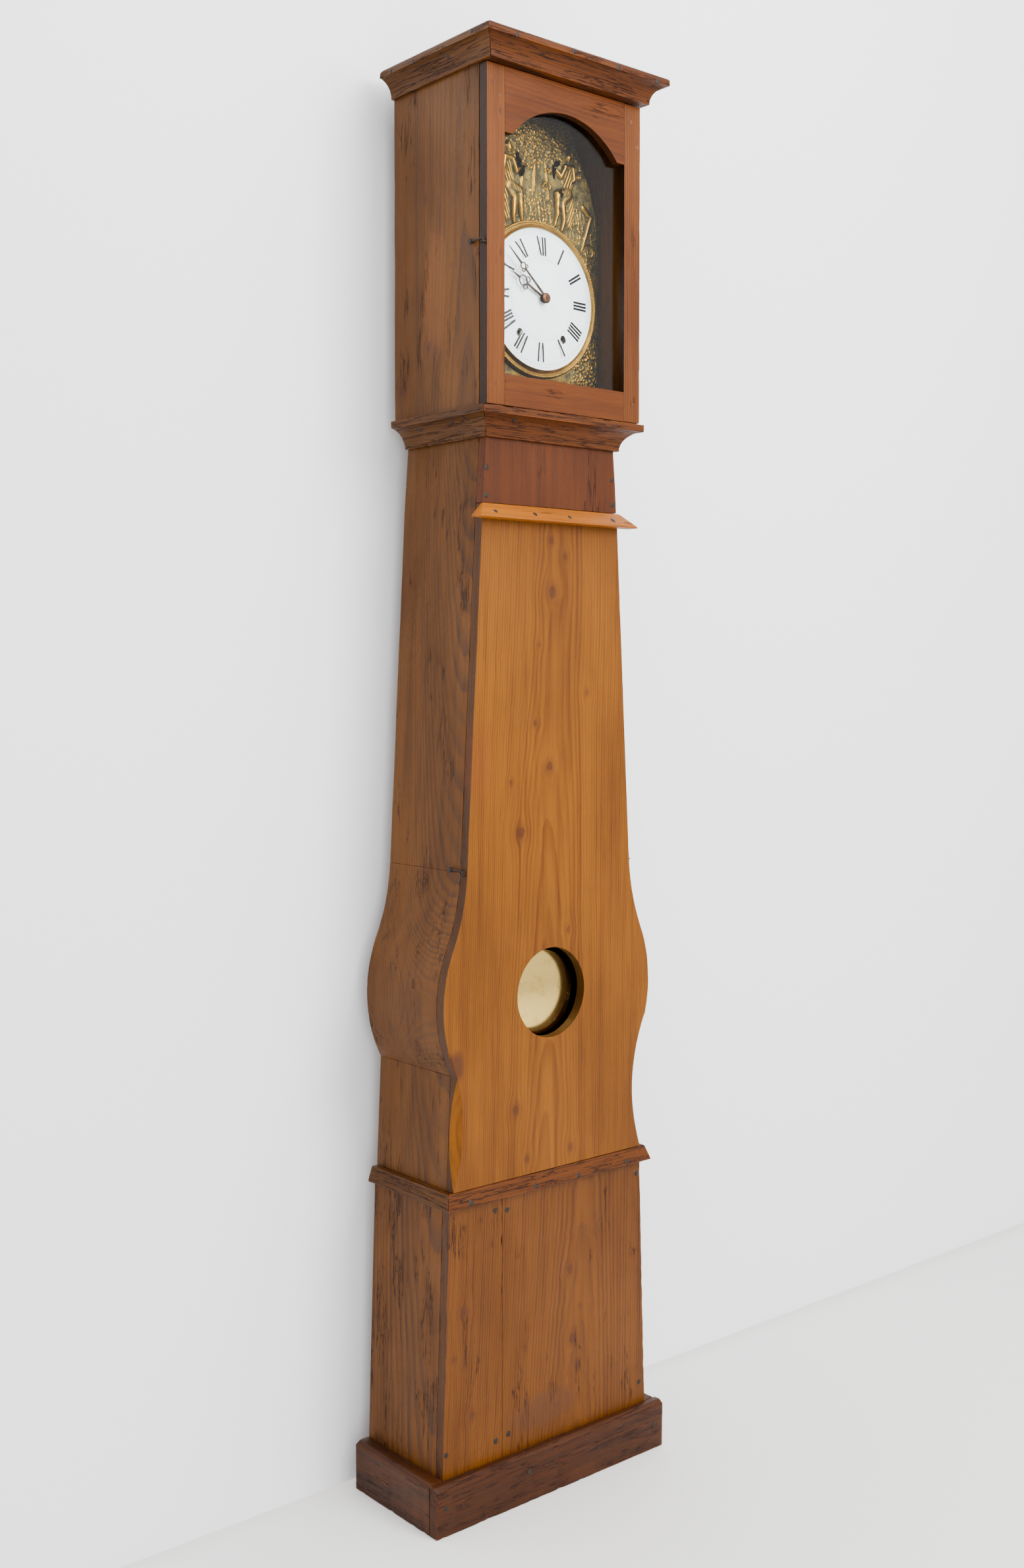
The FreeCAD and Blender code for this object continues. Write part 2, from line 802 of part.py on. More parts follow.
# The seat board lies across the trunk sides and stops behind the pendulum.
seat_blank = block(
    "seat_blank",
    "side_board - hood_half",
    "hood_half - side_board",
    "back_board",
    "seat_depth",
    "hood_floor",
    "hood_floor + seat_thickness",
    final=False,
)
line_slots = []
for side_name, sign in (("left", "0 - "), ("right", "0 + ")):
    line_slots.append(
        block(
            "line_slot_" + side_name,
            sign + "( hole_across + drum_radius ) - 9",
            sign + "( hole_across + drum_radius ) + 9",
            "movement_back + 12",
            "movement_front - 12",
            "hood_floor - 1",
            "hood_floor + seat_thickness + 1",
            final=False,
        )
    )
slots = doc.addObject("Part::Compound", "line_slots")
slots.Links = line_slots
cut("seat_board", seat_blank, slots)

# ---------------------------------------------------------------- hood door
DOOR_BOTTOM = "( hood_floor + 1 )"
DOOR_TOP = "( cornice_bottom - 1.5 )"
SIGHT_HALF = "( hood_half - stile_width )"
SIGHT_BOTTOM = "( hood_floor + 1 + bottom_rail_height )"
SHOULDER = "( cornice_bottom - 1.5 - arch_head - arch_rise )"
ARCH_RADIUS = "( ( arch_half * arch_half + arch_rise * arch_rise ) / ( arch_rise * 2 ) )"


def door_piece(name, corners, rebates, rounds=None):
    """One member of the door frame, with the rebates for the glass cut from behind."""
    body = new_body(name)
    pad(body, outline(body, "XZ_Plane", name + "_outline", corners, rounds), "door_thickness")
    for i, (rebate, arcs) in enumerate(rebates):
        sketch = outline(body, "XZ_Plane", name + "_rebate_%d" % i, rebate, arcs)
        pocket_back(body, sketch, "rebate_depth")
    place(body, "0", "hood_door_back", "0")
    return keep(name, body)


for side_name, is_left in (("left", True), ("right", False)):
    stile = [
        (SIGHT_HALF, DOOR_BOTTOM),
        ("hood_half", DOOR_BOTTOM),
        ("hood_half", DOOR_TOP),
        (SIGHT_HALF, DOOR_TOP),
    ]
    groove = [
        (SIGHT_HALF + " - 1", SIGHT_BOTTOM + " - rebate_width"),
        (SIGHT_HALF + " + rebate_width", SIGHT_BOTTOM + " - rebate_width"),
        (SIGHT_HALF + " + rebate_width", SHOULDER + " + arch_rise + rebate_width"),
        (SIGHT_HALF + " - 1", SHOULDER + " + arch_rise + rebate_width"),
    ]
    if is_left:
        stile = mirrored(stile)[0]
        groove = mirrored(groove)[0]
    door_piece("hood_door_stile_" + side_name, stile, [(groove, None)])
door_piece(
    "hood_door_bottom_rail",
    [
        ("0 - " + SIGHT_HALF, DOOR_BOTTOM),
        (SIGHT_HALF, DOOR_BOTTOM),
        (SIGHT_HALF, SIGHT_BOTTOM),
        ("0 - " + SIGHT_HALF, SIGHT_BOTTOM),
    ],
    [
        (
            [
                ("0 - " + SIGHT_HALF + " - 1", SIGHT_BOTTOM + " - rebate_width"),
                (SIGHT_HALF + " + 1", SIGHT_BOTTOM + " - rebate_width"),
                (SIGHT_HALF + " + 1", SIGHT_BOTTOM + " + 1"),
                ("0 - " + SIGHT_HALF + " - 1", SIGHT_BOTTOM + " + 1"),
            ],
            None,
        )
    ],
)
door_piece(
    "hood_door_arched_rail",
    [
        ("0 - " + SIGHT_HALF, SHOULDER),
        ("0 - arch_half", SHOULDER),
        ("arch_half", SHOULDER),
        (SIGHT_HALF, SHOULDER),
        (SIGHT_HALF, DOOR_TOP),
        ("0 - " + SIGHT_HALF, DOOR_TOP),
    ],
    [
        (
            [
                ("0 - " + SIGHT_HALF + " - 1", SHOULDER + " - 1"),
                (SIGHT_HALF + " + 1", SHOULDER + " - 1"),
                (SIGHT_HALF + " + 1", SHOULDER + " + arch_rise + rebate_width"),
                ("0 - " + SIGHT_HALF + " - 1", SHOULDER + " + arch_rise + rebate_width"),
            ],
            None,
        )
    ],
    {1: (ARCH_RADIUS, -1)},
)
block(
    "hood_door_glass",
    "0.5 - " + SIGHT_HALF + " - rebate_width",
    SIGHT_HALF + " + rebate_width - 0.5",
    "hood_door_back + rebate_depth - glass_thickness",
    "hood_door_back + rebate_depth",
    SIGHT_BOTTOM + " - rebate_width + 0.5",
    SHOULDER + " + arch_rise + rebate_width - 0.5",
)

# ---------------------------------------------------------------- hood hinges
# The pins stand beside the right-hand side board, on the line between side and door.
HINGE_X = "( hood_half + knuckle_radius + 0.5 )"
HINGE_DEPTH = "( hood_door_back - 0.75 )"
HINGE_LEVELS = ("( hood_floor + 70 )", "( cornice_bottom - 110 )")
fixed_leaves = []
door_leaves = []
for i, level in enumerate(HINGE_LEVELS):
    stem = "hood_hinge_%d_" % i
    plate = block(
        stem + "plate",
        "hood_half",
        "hood_half + leaf_thickness",
        HINGE_DEPTH + " - leaf_width",
        HINGE_DEPTH + " - 3.2",
        level,
        level + " + leaf_height",
        final=False,
    )
    lower = rod(
        stem + "lower", "knuckle_radius", "leaf_height / 2 - 0.5", HINGE_X, HINGE_DEPTH, level, final=False
    )
    web = block(
        stem + "web",
        "hood_half + leaf_thickness * 0.5",
        HINGE_X,
        HINGE_DEPTH + " - 3.4",
        HINGE_DEPTH + " - 0.8",
        level,
        level + " + leaf_height / 2 - 0.5",
        final=False,
    )
    pin = rod(
        stem + "pin", "hinge_pin_radius", "leaf_height", HINGE_X, HINGE_DEPTH, level, final=False
    )
    fixed = doc.addObject("Part::MultiFuse", stem + "fixed")
    fixed.Shapes = [plate, lower, web, pin]
    fixed_leaves.append(fixed)
    upper = rod(
        stem + "upper",
        "knuckle_radius",
        "leaf_height / 2 - 0.5",
        HINGE_X,
        HINGE_DEPTH,
        level + " + leaf_height / 2 + 0.5",
        final=False,
    )
    leaf = block(
        stem + "leaf",
        "hood_half",
        "hood_half + leaf_thickness",
        HINGE_DEPTH + " + 3.2",
        "hood_door_back + door_thickness - 2",
        level + " + leaf_height / 2 + 0.5",
        level + " + leaf_height",
        final=False,
    )
    door_web = block(
        stem + "door_web",
        "hood_half + leaf_thickness * 0.5",
        HINGE_X,
        HINGE_DEPTH + " + 0.8",
        HINGE_DEPTH + " + 3.4",
        level + " + leaf_height / 2 + 0.5",
        level + " + leaf_height",
        final=False,
    )
    moving = doc.addObject("Part::MultiFuse", stem + "moving")
    moving.Shapes = [upper, leaf, door_web]
    bore = rod(
        stem + "bore",
        "hinge_pin_radius + running_gap",
        "leaf_height",
        HINGE_X,
        HINGE_DEPTH,
        level,
        final=False,
    )
    door_leaves.append(cut(stem + "door", moving, bore, final=False))
group("hood_hinge_plates", fixed_leaves)
group("hood_door_hinge_leaves", door_leaves)


# ---------------------------------------------------------------- hooks and staples
def wire(path_points, bend, radius):
    """A round wire through points, with each corner turned by an arc of radius bend."""
    edges = []
    start = path_points[0]
    for i in range(1, len(path_points) - 1):
        corner = path_points[i]
        back = (path_points[i - 1] - corner).normalize()
        ahead = (path_points[i + 1] - corner).normalize()
        half_angle = math.acos(max(-1.0, min(1.0, back.dot(ahead)))) / 2
        trim = bend / math.tan(half_angle)
        entry = corner + back * trim
        leave = corner + ahead * trim
        bisector = (back + ahead).normalize()
        middle = corner + bisector * (bend / math.sin(half_angle) - bend)
        edges.append(Part.LineSegment(start, entry).toShape())
        edges.append(Part.Arc(entry, middle, leave).toShape())
        start = leave
    edges.append(Part.LineSegment(start, path_points[-1]).toShape())
    path = Part.Wire(edges)
    profile = Part.Wire([Part.Circle(path_points[0], path_points[1] - path_points[0], radius).toShape()])
    return path.makePipeShell([profile], True, True)


def iron(name, shapes):
    """Forged wire work, which neither a sketch nor a primitive makes."""
    feature = doc.addObject("Part::Feature", name)
    whole = shapes[0]
    for shape in shapes[1:]:
        whole = whole.fuse(shape)
    feature.Shape = whole
    return keep(name, feature)


def side_hook(name, face_x, left, pivot_depth, height):
    """A hook on a side board and the staple it drops into, for one side of the case."""
    sign = -1 if left else 1
    gauge = number("hook_wire")
    length = number("hook_length")
    back_y = number("cornice_depth") / 2
    stand = face_x + sign * 4.0
    pivot_y = back_y - pivot_depth
    tip_y = pivot_y - length
    eye_ring = Part.makeTorus(3.4, gauge, FreeCAD.Vector(stand, pivot_y, height), FreeCAD.Vector(1, 0, 0))
    arm = wire(
        [
            FreeCAD.Vector(stand, pivot_y - 3.4, height),
            FreeCAD.Vector(stand, tip_y, height),
            FreeCAD.Vector(stand, tip_y, height - 9.0),
        ],
        3.0,
        gauge,
    )
    iron(name, [eye_ring, arm])
    foot = FreeCAD.Vector(face_x + sign * 0.2, pivot_y, height)
    spike = Part.makeCylinder(1.7, 5.7, foot, FreeCAD.Vector(sign, 0, 0))
    washer = Part.makeCylinder(
        4.0, 0.7, FreeCAD.Vector(face_x + sign * 5.9, pivot_y, height), FreeCAD.Vector(sign, 0, 0)
    )
    return spike.fuse(washer), (stand, tip_y)


def staple(face_x, left, hook_point, height):
    """A wire loop on the door's edge that stands round the hook's tip."""
    sign = -1 if left else 1
    gauge = 1.0
    stand, tip_y = hook_point
    room = number("hook_wire") + gauge + 0.9
    foot = face_x + sign * 0.5
    out = stand + sign * room
    return wire(
        [
            FreeCAD.Vector(foot, tip_y + room, height - 6.0),
            FreeCAD.Vector(out, tip_y + room, height - 6.0),
            FreeCAD.Vector(out, tip_y - room, height - 6.0),
            FreeCAD.Vector(foot, tip_y - room, height - 6.0),
        ],
        1.5,
        gauge,
    )


def flank_half_at(height):
    """Outer half width of the straight flank at a height."""
    lean = (number("belly_head_half") - number("neck_foot_half")) / (
        number("trunk_front_top") - number("belly_head")
    )
    return number("belly_head_half") - lean * (height - number("belly_head"))


screw_eyes = []
hood_height = number("hood_hook_height")
screw, point = side_hook(
    "hood_hook", -number("hood_half"), True, number("hood_side_depth") - 15.0, hood_height
)
screw_eyes.append(screw)
iron("hood_door_staple", [staple(-number("hood_half"), True, point, hood_height)])
trunk_staples = []
trunk_height = number("trunk_hook_height")
for hook_name, is_left in (("trunk_hook_left", True), ("trunk_hook_right", False)):
    face = flank_half_at(trunk_height) * (-1 if is_left else 1)
    screw, point = side_hook(
        hook_name, face, is_left, number("trunk_depth") - number("front_board") - 20.0, trunk_height
    )
    screw_eyes.append(screw)
    trunk_staples.append(staple(face, is_left, point, trunk_height))
screws = doc.addObject("Part::Feature", "hook_pivot_screws")
screws.Shape = Part.makeCompound(screw_eyes)
keep("hook_pivot_screws", screws)
eyes = doc.addObject("Part::Feature", "trunk_front_staples")
eyes.Shape = Part.makeCompound(trunk_staples)
keep("trunk_front_staples", eyes)


# ---------------------------------------------------------------- dial group
def turned(name, profile, across, height, rounds=None, final=True):
    """A body of revolution about a fore-and-aft axis.

    profile is a list of (radius, depth) formulas; the axis lies along Y at across, height.
    """
    body = new_body(name)
    corners = [(a, "0 - ( " + b + " )") for a, b in profile]
    sketch = outline(body, "XY_Plane", name + "_profile", corners, rounds)
    feature = body.newObject("PartDesign::Revolution", name + "_revolution")
    feature.Profile = sketch
    feature.ReferenceAxis = (sketch, ["V_Axis"])
    feature.Angle = 360.0
    doc.recompute()
    place(body, across, "0", height)
    return keep(name, body) if final else body


BRASS_SHOULDER = "( dial_height + brass_arch )"
brass = new_body("brass_front")
pad(
    brass,
    outline(
        brass,
        "XZ_Plane",
        "brass_outline",
        [
            ("0 - brass_half", "dial_height - brass_foot"),
            ("brass_half", "dial_height - brass_foot"),
            ("brass_half", BRASS_SHOULDER),
            ("0 - brass_half", BRASS_SHOULDER),
        ],
        {2: ("brass_half * 1.0001", 1)},
    ),
    "brass_thickness",
)
dial_hole = brass.newObject("Sketcher::SketchObject", "dial_hole_sketch")
dial_hole.AttachmentSupport = [(origin_plane(brass, "XZ_Plane"), "")]
dial_hole.MapMode = "FlatFace"
dial_hole.addGeometry(
    Part.Circle(FreeCAD.Vector(0, number("dial_height"), 0), FreeCAD.Vector(0, 0, 1), number("dial_radius"))
)
dial_hole.addConstraint(Sketcher.Constraint("PointOnObject", 0, 3, -2))
high = dial_hole.addConstraint(Sketcher.Constraint("DistanceY", -1, 1, 0, 3, number("dial_height")))
dial_hole.setExpression("Constraints[%d]" % high, sheet("dial_height"))
wide = dial_hole.addConstraint(Sketcher.Constraint("Radius", 0, number("dial_radius")))
dial_hole.setExpression("Constraints[%d]" % wide, sheet("dial_radius"))
pocket_through(brass, dial_hole)
place(brass, "0", "brass_back", "0")
keep("brass_front", brass)

BRASS_FACE = "( brass_back + brass_thickness )"
turned(
    "bezel",
    [
        ("dial_radius + 0.1", BRASS_FACE),
        ("bezel_radius", BRASS_FACE),
        ("bezel_radius", BRASS_FACE + " + 3"),
        ("bezel_radius - 6", BRASS_FACE + " + 10"),
        ("bezel_lip", "dial_rim_depth + 3"),
        ("bezel_lip", "dial_rim_depth + 1.5"),
        ("dial_radius + 0.1", "dial_rim_depth + 1.5"),
    ],
    "0",
    "dial_height",
)

# The enamel dial is a shallow convex disc, pierced for the hands and the winding keys.
CAP_RADIUS = "( ( dial_radius * dial_radius + dial_bulge * dial_bulge ) / ( dial_bulge * 2 ) )"
dial_blank = turned(
    "enamel_dial_blank",
    [
        ("0", "dial_rim_depth - dial_thickness"),
        ("dial_radius", "dial_rim_depth - dial_thickness"),
        ("dial_radius", "dial_rim_depth"),
        ("0", "dial_rim_depth + dial_bulge"),
    ],
    "0",
    "dial_height",
    {2: (CAP_RADIUS, -1)},
    final=False,
)
dial_holes = [
    rod(
        "hand_hole",
        "hour_pipe_radius + 1",
        "30",
        "0",
        "dial_rim_depth - dial_thickness - 10",
        "dial_height",
        "Y",
        final=False,
    )
]
for side_name, sign in (("left", "0 - "), ("right", "0 + ")):
    dial_holes.append(
        rod(
            "winding_hole_" + side_name,
            "hole_radius",
            "30",
            sign + "hole_across",
            "dial_rim_depth - dial_thickness - 10",
            "dial_height - hole_below",
            "Y",
            final=False,
        )
    )
holes = doc.addObject("Part::Compound", "dial_holes")
holes.Links = dial_holes
cut("enamel_dial", dial_blank, holes)


# ---------------------------------------------------------------- hands
def hand(name, length, swell, swell_at, depth, angle, hub_radius, pipe, bore):
    """A flat pierced hand with a round hub and a pipe that runs back through the dial."""
    thick = number("hand_thickness")
    reach = number(length)
    axis = FreeCAD.Vector(0, -1, 0)
    middle = FreeCAD.Vector(0, number("cornice_depth") / 2 - number(depth), number("dial_height"))

    def bar(start, end, wide_start, wide_end):
        points = [
            middle + FreeCAD.Vector(-wide_start, 0, start),
            middle + FreeCAD.Vector(wide_start, 0, start),
            middle + FreeCAD.Vector(wide_end, 0, end),
            middle + FreeCAD.Vector(-wide_end, 0, end),
        ]
        face = Part.Face(Part.makePolygon(points + [points[0]]))
        return face.extrude(axis * thick)

    def ring(height, outer, inner, across=0.0):
        centre = middle + FreeCAD.Vector(across, 0, height)
        solid = Part.makeCylinder(outer, thick, centre, axis)
        return solid.cut(Part.makeCylinder(inner, thick, centre, axis))

    solid = Part.makeCylinder(hub_radius, thick, middle, axis)
    centre_height = reach * swell_at
    for shape in (
        bar(hub_radius * 0.6, centre_height - swell, 2.2, 1.5),
        ring(centre_height, swell, swell - 1.6),
        ring(centre_height - swell * 0.9, swell * 0.55, swell * 0.55 - 1.4, -swell * 0.75),
        ring(centre_height - swell * 0.9, swell * 0.55, swell * 0.55 - 1.4, swell * 0.75),
        bar(centre_height + swell - 1.2, reach, 2.0, 0.5),
        bar(centre_height - swell * 1.6, centre_height - swell + 1.2, 1.5, 1.5),
    ):
        solid = solid.fuse(shape)
    back = number(depth) - number("movement_front") + 6.0
    solid = solid.fuse(Part.makeCylinder(pipe, back, middle, axis * -1))
    if bore > 0:
        through = Part.makeCylinder(bore, back + 10.0, middle + axis * 5.0, axis * -1)
        solid = solid.cut(through)
    solid.rotate(middle, FreeCAD.Vector(0, 1, 0), angle)
    feature = doc.addObject("Part::Feature", name)
    feature.Shape = solid
    return keep(name, feature)


SHOWN_HOUR = 9
SHOWN_MINUTE = 52
MINUTE_ANGLE = SHOWN_MINUTE * 6.0
HOUR_ANGLE = (SHOWN_HOUR + SHOWN_MINUTE / 60.0) * 30.0
hand(
    "hour_hand",
    "hour_hand_length",
    9.0,
    0.66,
    "hour_hand_depth",
    HOUR_ANGLE,
    8.0,
    number("hour_pipe_radius"),
    number("hand_arbor_radius") + number("running_gap"),
)
hand(
    "minute_hand",
    "minute_hand_length",
    6.0,
    0.62,
    "minute_hand_depth",
    MINUTE_ANGLE,
    7.5,
    number("hand_arbor_radius"),
    0.0,
)

# ---------------------------------------------------------------- movement
CAGE_BOTTOM = "( hood_floor + seat_thickness )"
CAGE_TOP = "( hood_floor + seat_thickness + movement_height )"
frame_pieces = [
    block(
        "cage_floor",
        "0 - movement_half",
        "movement_half",
        "movement_back",
        "movement_front",
        CAGE_BOTTOM,
        CAGE_BOTTOM + " + plate_thickness",
        final=False,
    ),
    block(
        "cage_roof",
        "0 - movement_half",
        "movement_half",
        "movement_back",
        "movement_front",
        CAGE_TOP + " - plate_thickness",
        CAGE_TOP,
        final=False,
    ),
]
for side_name, left_edge in (
    ("left", "cage_inset - movement_half"),
    ("right", "movement_half - pillar_size - cage_inset"),
):
    for end_name, near in (
        ("back", "movement_back + cage_inset"),
        ("front", "movement_front - pillar_size - cage_inset"),
    ):
        frame_pieces.append(
            block(
                "pillar_" + side_name + "_" + end_name,
                left_edge,
                left_edge + " + pillar_size",
                near,
                near + " + pillar_size",
                CAGE_BOTTOM,
                CAGE_TOP,
                final=False,
            )
        )
# Upright bars carry the arbors, in front and behind: one each side and one in the middle.
for bar_name, centre in (("left", "0 - hole_across"), ("middle", "0"), ("right", "hole_across")):
    for end_name, near in (
        ("back", "movement_back + cage_inset"),
        ("front", "movement_front - plate_thickness - cage_inset"),
    ):
        frame_pieces.append(
            block(
                "bar_" + bar_name + "_" + end_name,
                centre + " - 9",
                centre + " + 9",
                near,
                near + " + plate_thickness",
                CAGE_BOTTOM,
                CAGE_TOP,
                final=False,
            )
        )
# Four feet hold the brass front away from the cage.
for side_name, across in (
    ("left", "cage_inset - movement_half + pillar_size / 2"),
    ("right", "movement_half - pillar_size / 2 - cage_inset"),
):
    for end_name, level in (("low", CAGE_BOTTOM + " + 60"), ("high", CAGE_TOP + " - 12")):
        frame_pieces.append(
            rod(
                "dial_foot_" + side_name + "_" + end_name,
                "3.5",
                "brass_back - movement_front + cage_inset + 1",
                across,
                "movement_front - cage_inset - 1",
                level,
                "Y",
                final=False,
            )
        )
# The pendulum's cock reaches forward from the cage roof.
frame_pieces.append(
    block(
        "cock_arm",
        "0 - 9",
        "9",
        "movement_front - 4",
        "pendulum_depth + 6",
        CAGE_TOP + " - plate_thickness",
        CAGE_TOP,
        final=False,
    )
)
frame_blank = doc.addObject("Part::MultiFuse", "frame_blank")
frame_blank.Shapes = frame_pieces
frame_blank.Refine = True
bores = [
    rod(
        "hand_bore",
        "hour_pipe_radius + 1",
        "40",
        "0",
        "movement_front - 20",
        "dial_height",
        "Y",
        final=False,
    )
]
for side_name, sign in (("left", "0 - "), ("right", "0 + ")):
    bores.append(
        rod(
            "barrel_bore_" + side_name,
            "barrel_arbor_radius + running_gap",
            "movement_front - movement_back + 10",
            sign + "hole_across",
            "movement_back - 5",
            "dial_height - hole_below",
            "Y",
            final=False,
        )
    )
for bore_name, level in (("escape", "anchor_height - escape_drop"), ("anchor", "anchor_height")):
    bores.append(
        rod(
            bore_name + "_bore",
            "2 + running_gap",
            "movement_front - movement_back + 10",
            "0",
            "movement_back - 5",
            level,
            "Y",
            final=False,
        )
    )
bores.append(
    rod(
        "hammer_bore",
        "2.5 + running_gap",
        "movement_front - movement_back + 10",
        "movement_half - pillar_size / 2 - cage_inset",
        "movement_back - 5",
        CAGE_TOP + " - 30",
        "Y",
        final=False,
    )
)
bore_set = doc.addObject("Part::Compound", "frame_bores")
bore_set.Links = bores
cut("movement_frame", frame_blank, bore_set)


def barrel(name, sign):
    """Drum, flange, toothed great wheel and an arbor that ends in a winding square."""
    across = sign + "hole_across"
    level = "dial_height - hole_below"
    teeth = 60
    wheel_radius = number("great_wheel_radius")
    root = wheel_radius - 3.0
    back_y = number("cornice_depth") / 2
    centre_x = number(across)
    centre_z = number(level)
    points = []
    for i in range(teeth):
        for share, radius in ((-0.3, root), (-0.14, wheel_radius), (0.14, wheel_radius), (0.3, root)):
            angle = 2 * math.pi * (i + share) / teeth
            points.append(
                FreeCAD.Vector(
                    centre_x + radius * math.cos(angle),
                    back_y - number("movement_back") - 12.0,
                    centre_z + radius * math.sin(angle),
                )
            )
    blank = Part.Face(Part.makePolygon(points + [points[0]])).extrude(FreeCAD.Vector(0, -4.0, 0))
    wheel = doc.addObject("Part::Feature", name + "_great_wheel")
    wheel.Shape = blank
    pieces = [
        wheel,
        rod(
            name + "_drum",
            "drum_radius",
            "movement_front - movement_back - 36",
            across,
            "movement_back + 16",
            level,
            "Y",
            final=False,
        ),
        rod(
            name + "_flange",
            "drum_radius + 6",
            "2.5",
            across,
            "movement_front - 22.5",
            level,
            "Y",
            final=False,
        ),
        rod(
            name + "_arbor",
            "barrel_arbor_radius",
            "dial_rim_depth - movement_back - 6",
            across,
            "movement_back - 2",
            level,
            "Y",
            final=False,
        ),
    ]
    return join(name, pieces)


barrel("going_barrel", "0 - ")
barrel("strike_barrel", "0 + ")


def toothed_disc(teeth, outer, inner, hub, thickness, centre):
    """An escape wheel: pointed teeth on a rim with four crossings."""
    points = []
    for i in range(teeth):
        for share, radius in ((0.0, inner), (0.72, outer), (0.8, outer), (0.98, inner)):
            angle = 2 * math.pi * (i + share) / teeth
            points.append(centre + FreeCAD.Vector(radius * math.cos(angle), 0, radius * math.sin(angle)))
    disc = Part.Face(Part.makePolygon(points + [points[0]])).extrude(FreeCAD.Vector(0, -thickness, 0))
    inside = Part.makeCylinder(inner - 3.0, thickness, centre, FreeCAD.Vector(0, -1, 0))
    disc = disc.cut(inside).fuse(Part.makeCylinder(hub, thickness, centre, FreeCAD.Vector(0, -1, 0)))
    for turn in range(4):
        spoke = Part.makeBox(inner - 1.0, thickness, 2.4, centre + FreeCAD.Vector(0, -thickness, -1.2))
        spoke.rotate(centre, FreeCAD.Vector(0, 1, 0), 90 * turn)
        disc = disc.fuse(spoke)
    return disc


ARBOR_BACK = number("cornice_depth") / 2 - number("movement_back") + 2.0
ARBOR_SPAN = number("movement_front") - number("movement_back") + 4.0
wheel_centre = FreeCAD.Vector(
    0,
    number("cornice_depth") / 2 - number("movement_front") + 16.0,
    number("anchor_height") - number("escape_drop"),
)
escape_arbor = Part.makeCylinder(
    2.0, ARBOR_SPAN, FreeCAD.Vector(0, ARBOR_BACK, wheel_centre.z), FreeCAD.Vector(0, -1, 0)
)
iron(
    "escape_wheel",
    [
        toothed_disc(30, number("escape_radius"), number("escape_radius") - 4.0, 5.0, 2.5, wheel_centre),
        escape_arbor,
    ],
)

# The anchor's two pallets straddle the wheel. Its arbor runs forward to the pendulum's
# line, where a short fork holds the rod.
anchor_centre = FreeCAD.Vector(0, wheel_centre.y + 1.0, number("anchor_height"))
pallet_reach = 20.0
pallet_drop = 17.0
arch_shape = Part.makeBox(
    pallet_reach * 2 + 4.0, 4.0, 5.0, anchor_centre + FreeCAD.Vector(-pallet_reach - 2.0, -4.0, -2.5)
)
anchor_solids = [arch_shape]
for sign in (-1, 1):
    corner_x = sign * pallet_reach - 2.0
    anchor_solids.append(
        Part.makeBox(4.0, 4.0, pallet_drop, anchor_centre + FreeCAD.Vector(corner_x, -4.0, -pallet_drop))
    )
fork_front = number("pendulum_depth") + number("rod_thickness") / 2
anchor_solids.append(
    Part.makeCylinder(
        2.0,
        fork_front - number("rod_thickness") - number("movement_back") + 2.0 - 1.5,
        FreeCAD.Vector(0, ARBOR_BACK, anchor_centre.z),
        FreeCAD.Vector(0, -1, 0),
    )
)
fork_y = number("cornice_depth") / 2 - number("pendulum_depth") + number("rod_thickness") / 2 + 0.6
crutch_drop = 26.0
anchor_solids.append(
    Part.makeBox(3.0, 3.0, crutch_drop, FreeCAD.Vector(-1.5, fork_y, anchor_centre.z - crutch_drop))
)
gap = number("rod_width") / 2 + 0.6
anchor_solids.append(
    Part.makeBox(gap * 2 + 5.0, 3.0, 3.0, FreeCAD.Vector(-gap - 2.5, fork_y, anchor_centre.z - crutch_drop))
)
for sign in (-1, 1):
    left_edge = gap if sign > 0 else -gap - 2.5
    anchor_solids.append(
        Part.makeBox(2.5, 8.0, 3.0, FreeCAD.Vector(left_edge, fork_y - 5.0, anchor_centre.z - crutch_drop))
    )
iron("anchor_and_crutch", anchor_solids)

# ---------------------------------------------------------------- bell and hammer
BELL_DEPTH = "( ( movement_back + movement_front ) / 2 )"
bell = new_body("bell_shell")
bell_profile = [
    ("bell_radius - bell_wall", "bell_height"),
    ("bell_radius", "bell_height"),
    ("5", "bell_height + bell_radius * 0.75"),
    ("5", "bell_height + bell_radius * 0.75 - bell_wall"),
]
bell_sketch = outline(
    bell,
    "XZ_Plane",
    "bell_profile",
    bell_profile,
    {1: ("bell_radius * 0.9", 1), 3: ("bell_radius * 0.9", -1)},
)
bell_turn = bell.newObject("PartDesign::Revolution", "bell_revolution")
bell_turn.Profile = bell_sketch
bell_turn.ReferenceAxis = (bell_sketch, ["V_Axis"])
bell_turn.Angle = 360.0
doc.recompute()
place(bell, "0", BELL_DEPTH, "0")
bell_post = rod(
    "bell_post",
    "5",
    "bell_height + bell_radius * 0.75 + 6 - ( " + CAGE_TOP + " )",
    "0",
    BELL_DEPTH,
    CAGE_TOP,
    final=False,
)
join("bell", [bell, bell_post])

hammer_x = number("movement_half - pillar_size / 2 - cage_inset")
hammer_z = number(CAGE_TOP) - 30.0
hammer_y = number("cornice_depth / 2 - " + BELL_DEPTH)
strike_z = number("bell_height") + 3.0
hammer_arbor = Part.makeCylinder(
    2.5, ARBOR_SPAN, FreeCAD.Vector(hammer_x, ARBOR_BACK, hammer_z), FreeCAD.Vector(0, -1, 0)
)
head_x = number("bell_radius") + 2.0
hammer_arm = wire(
    [
        FreeCAD.Vector(hammer_x, hammer_y, hammer_z),
        FreeCAD.Vector(hammer_x + 20.0, hammer_y, hammer_z + 12.0),
        FreeCAD.Vector(hammer_x + 20.0, hammer_y, strike_z),
        FreeCAD.Vector(head_x + 9.0, hammer_y, strike_z),
    ],
    6.0,
    2.0,
)
hammer_head = Part.makeCylinder(
    8.0, 14.0, FreeCAD.Vector(head_x, hammer_y, strike_z), FreeCAD.Vector(1, 0, 0)
)
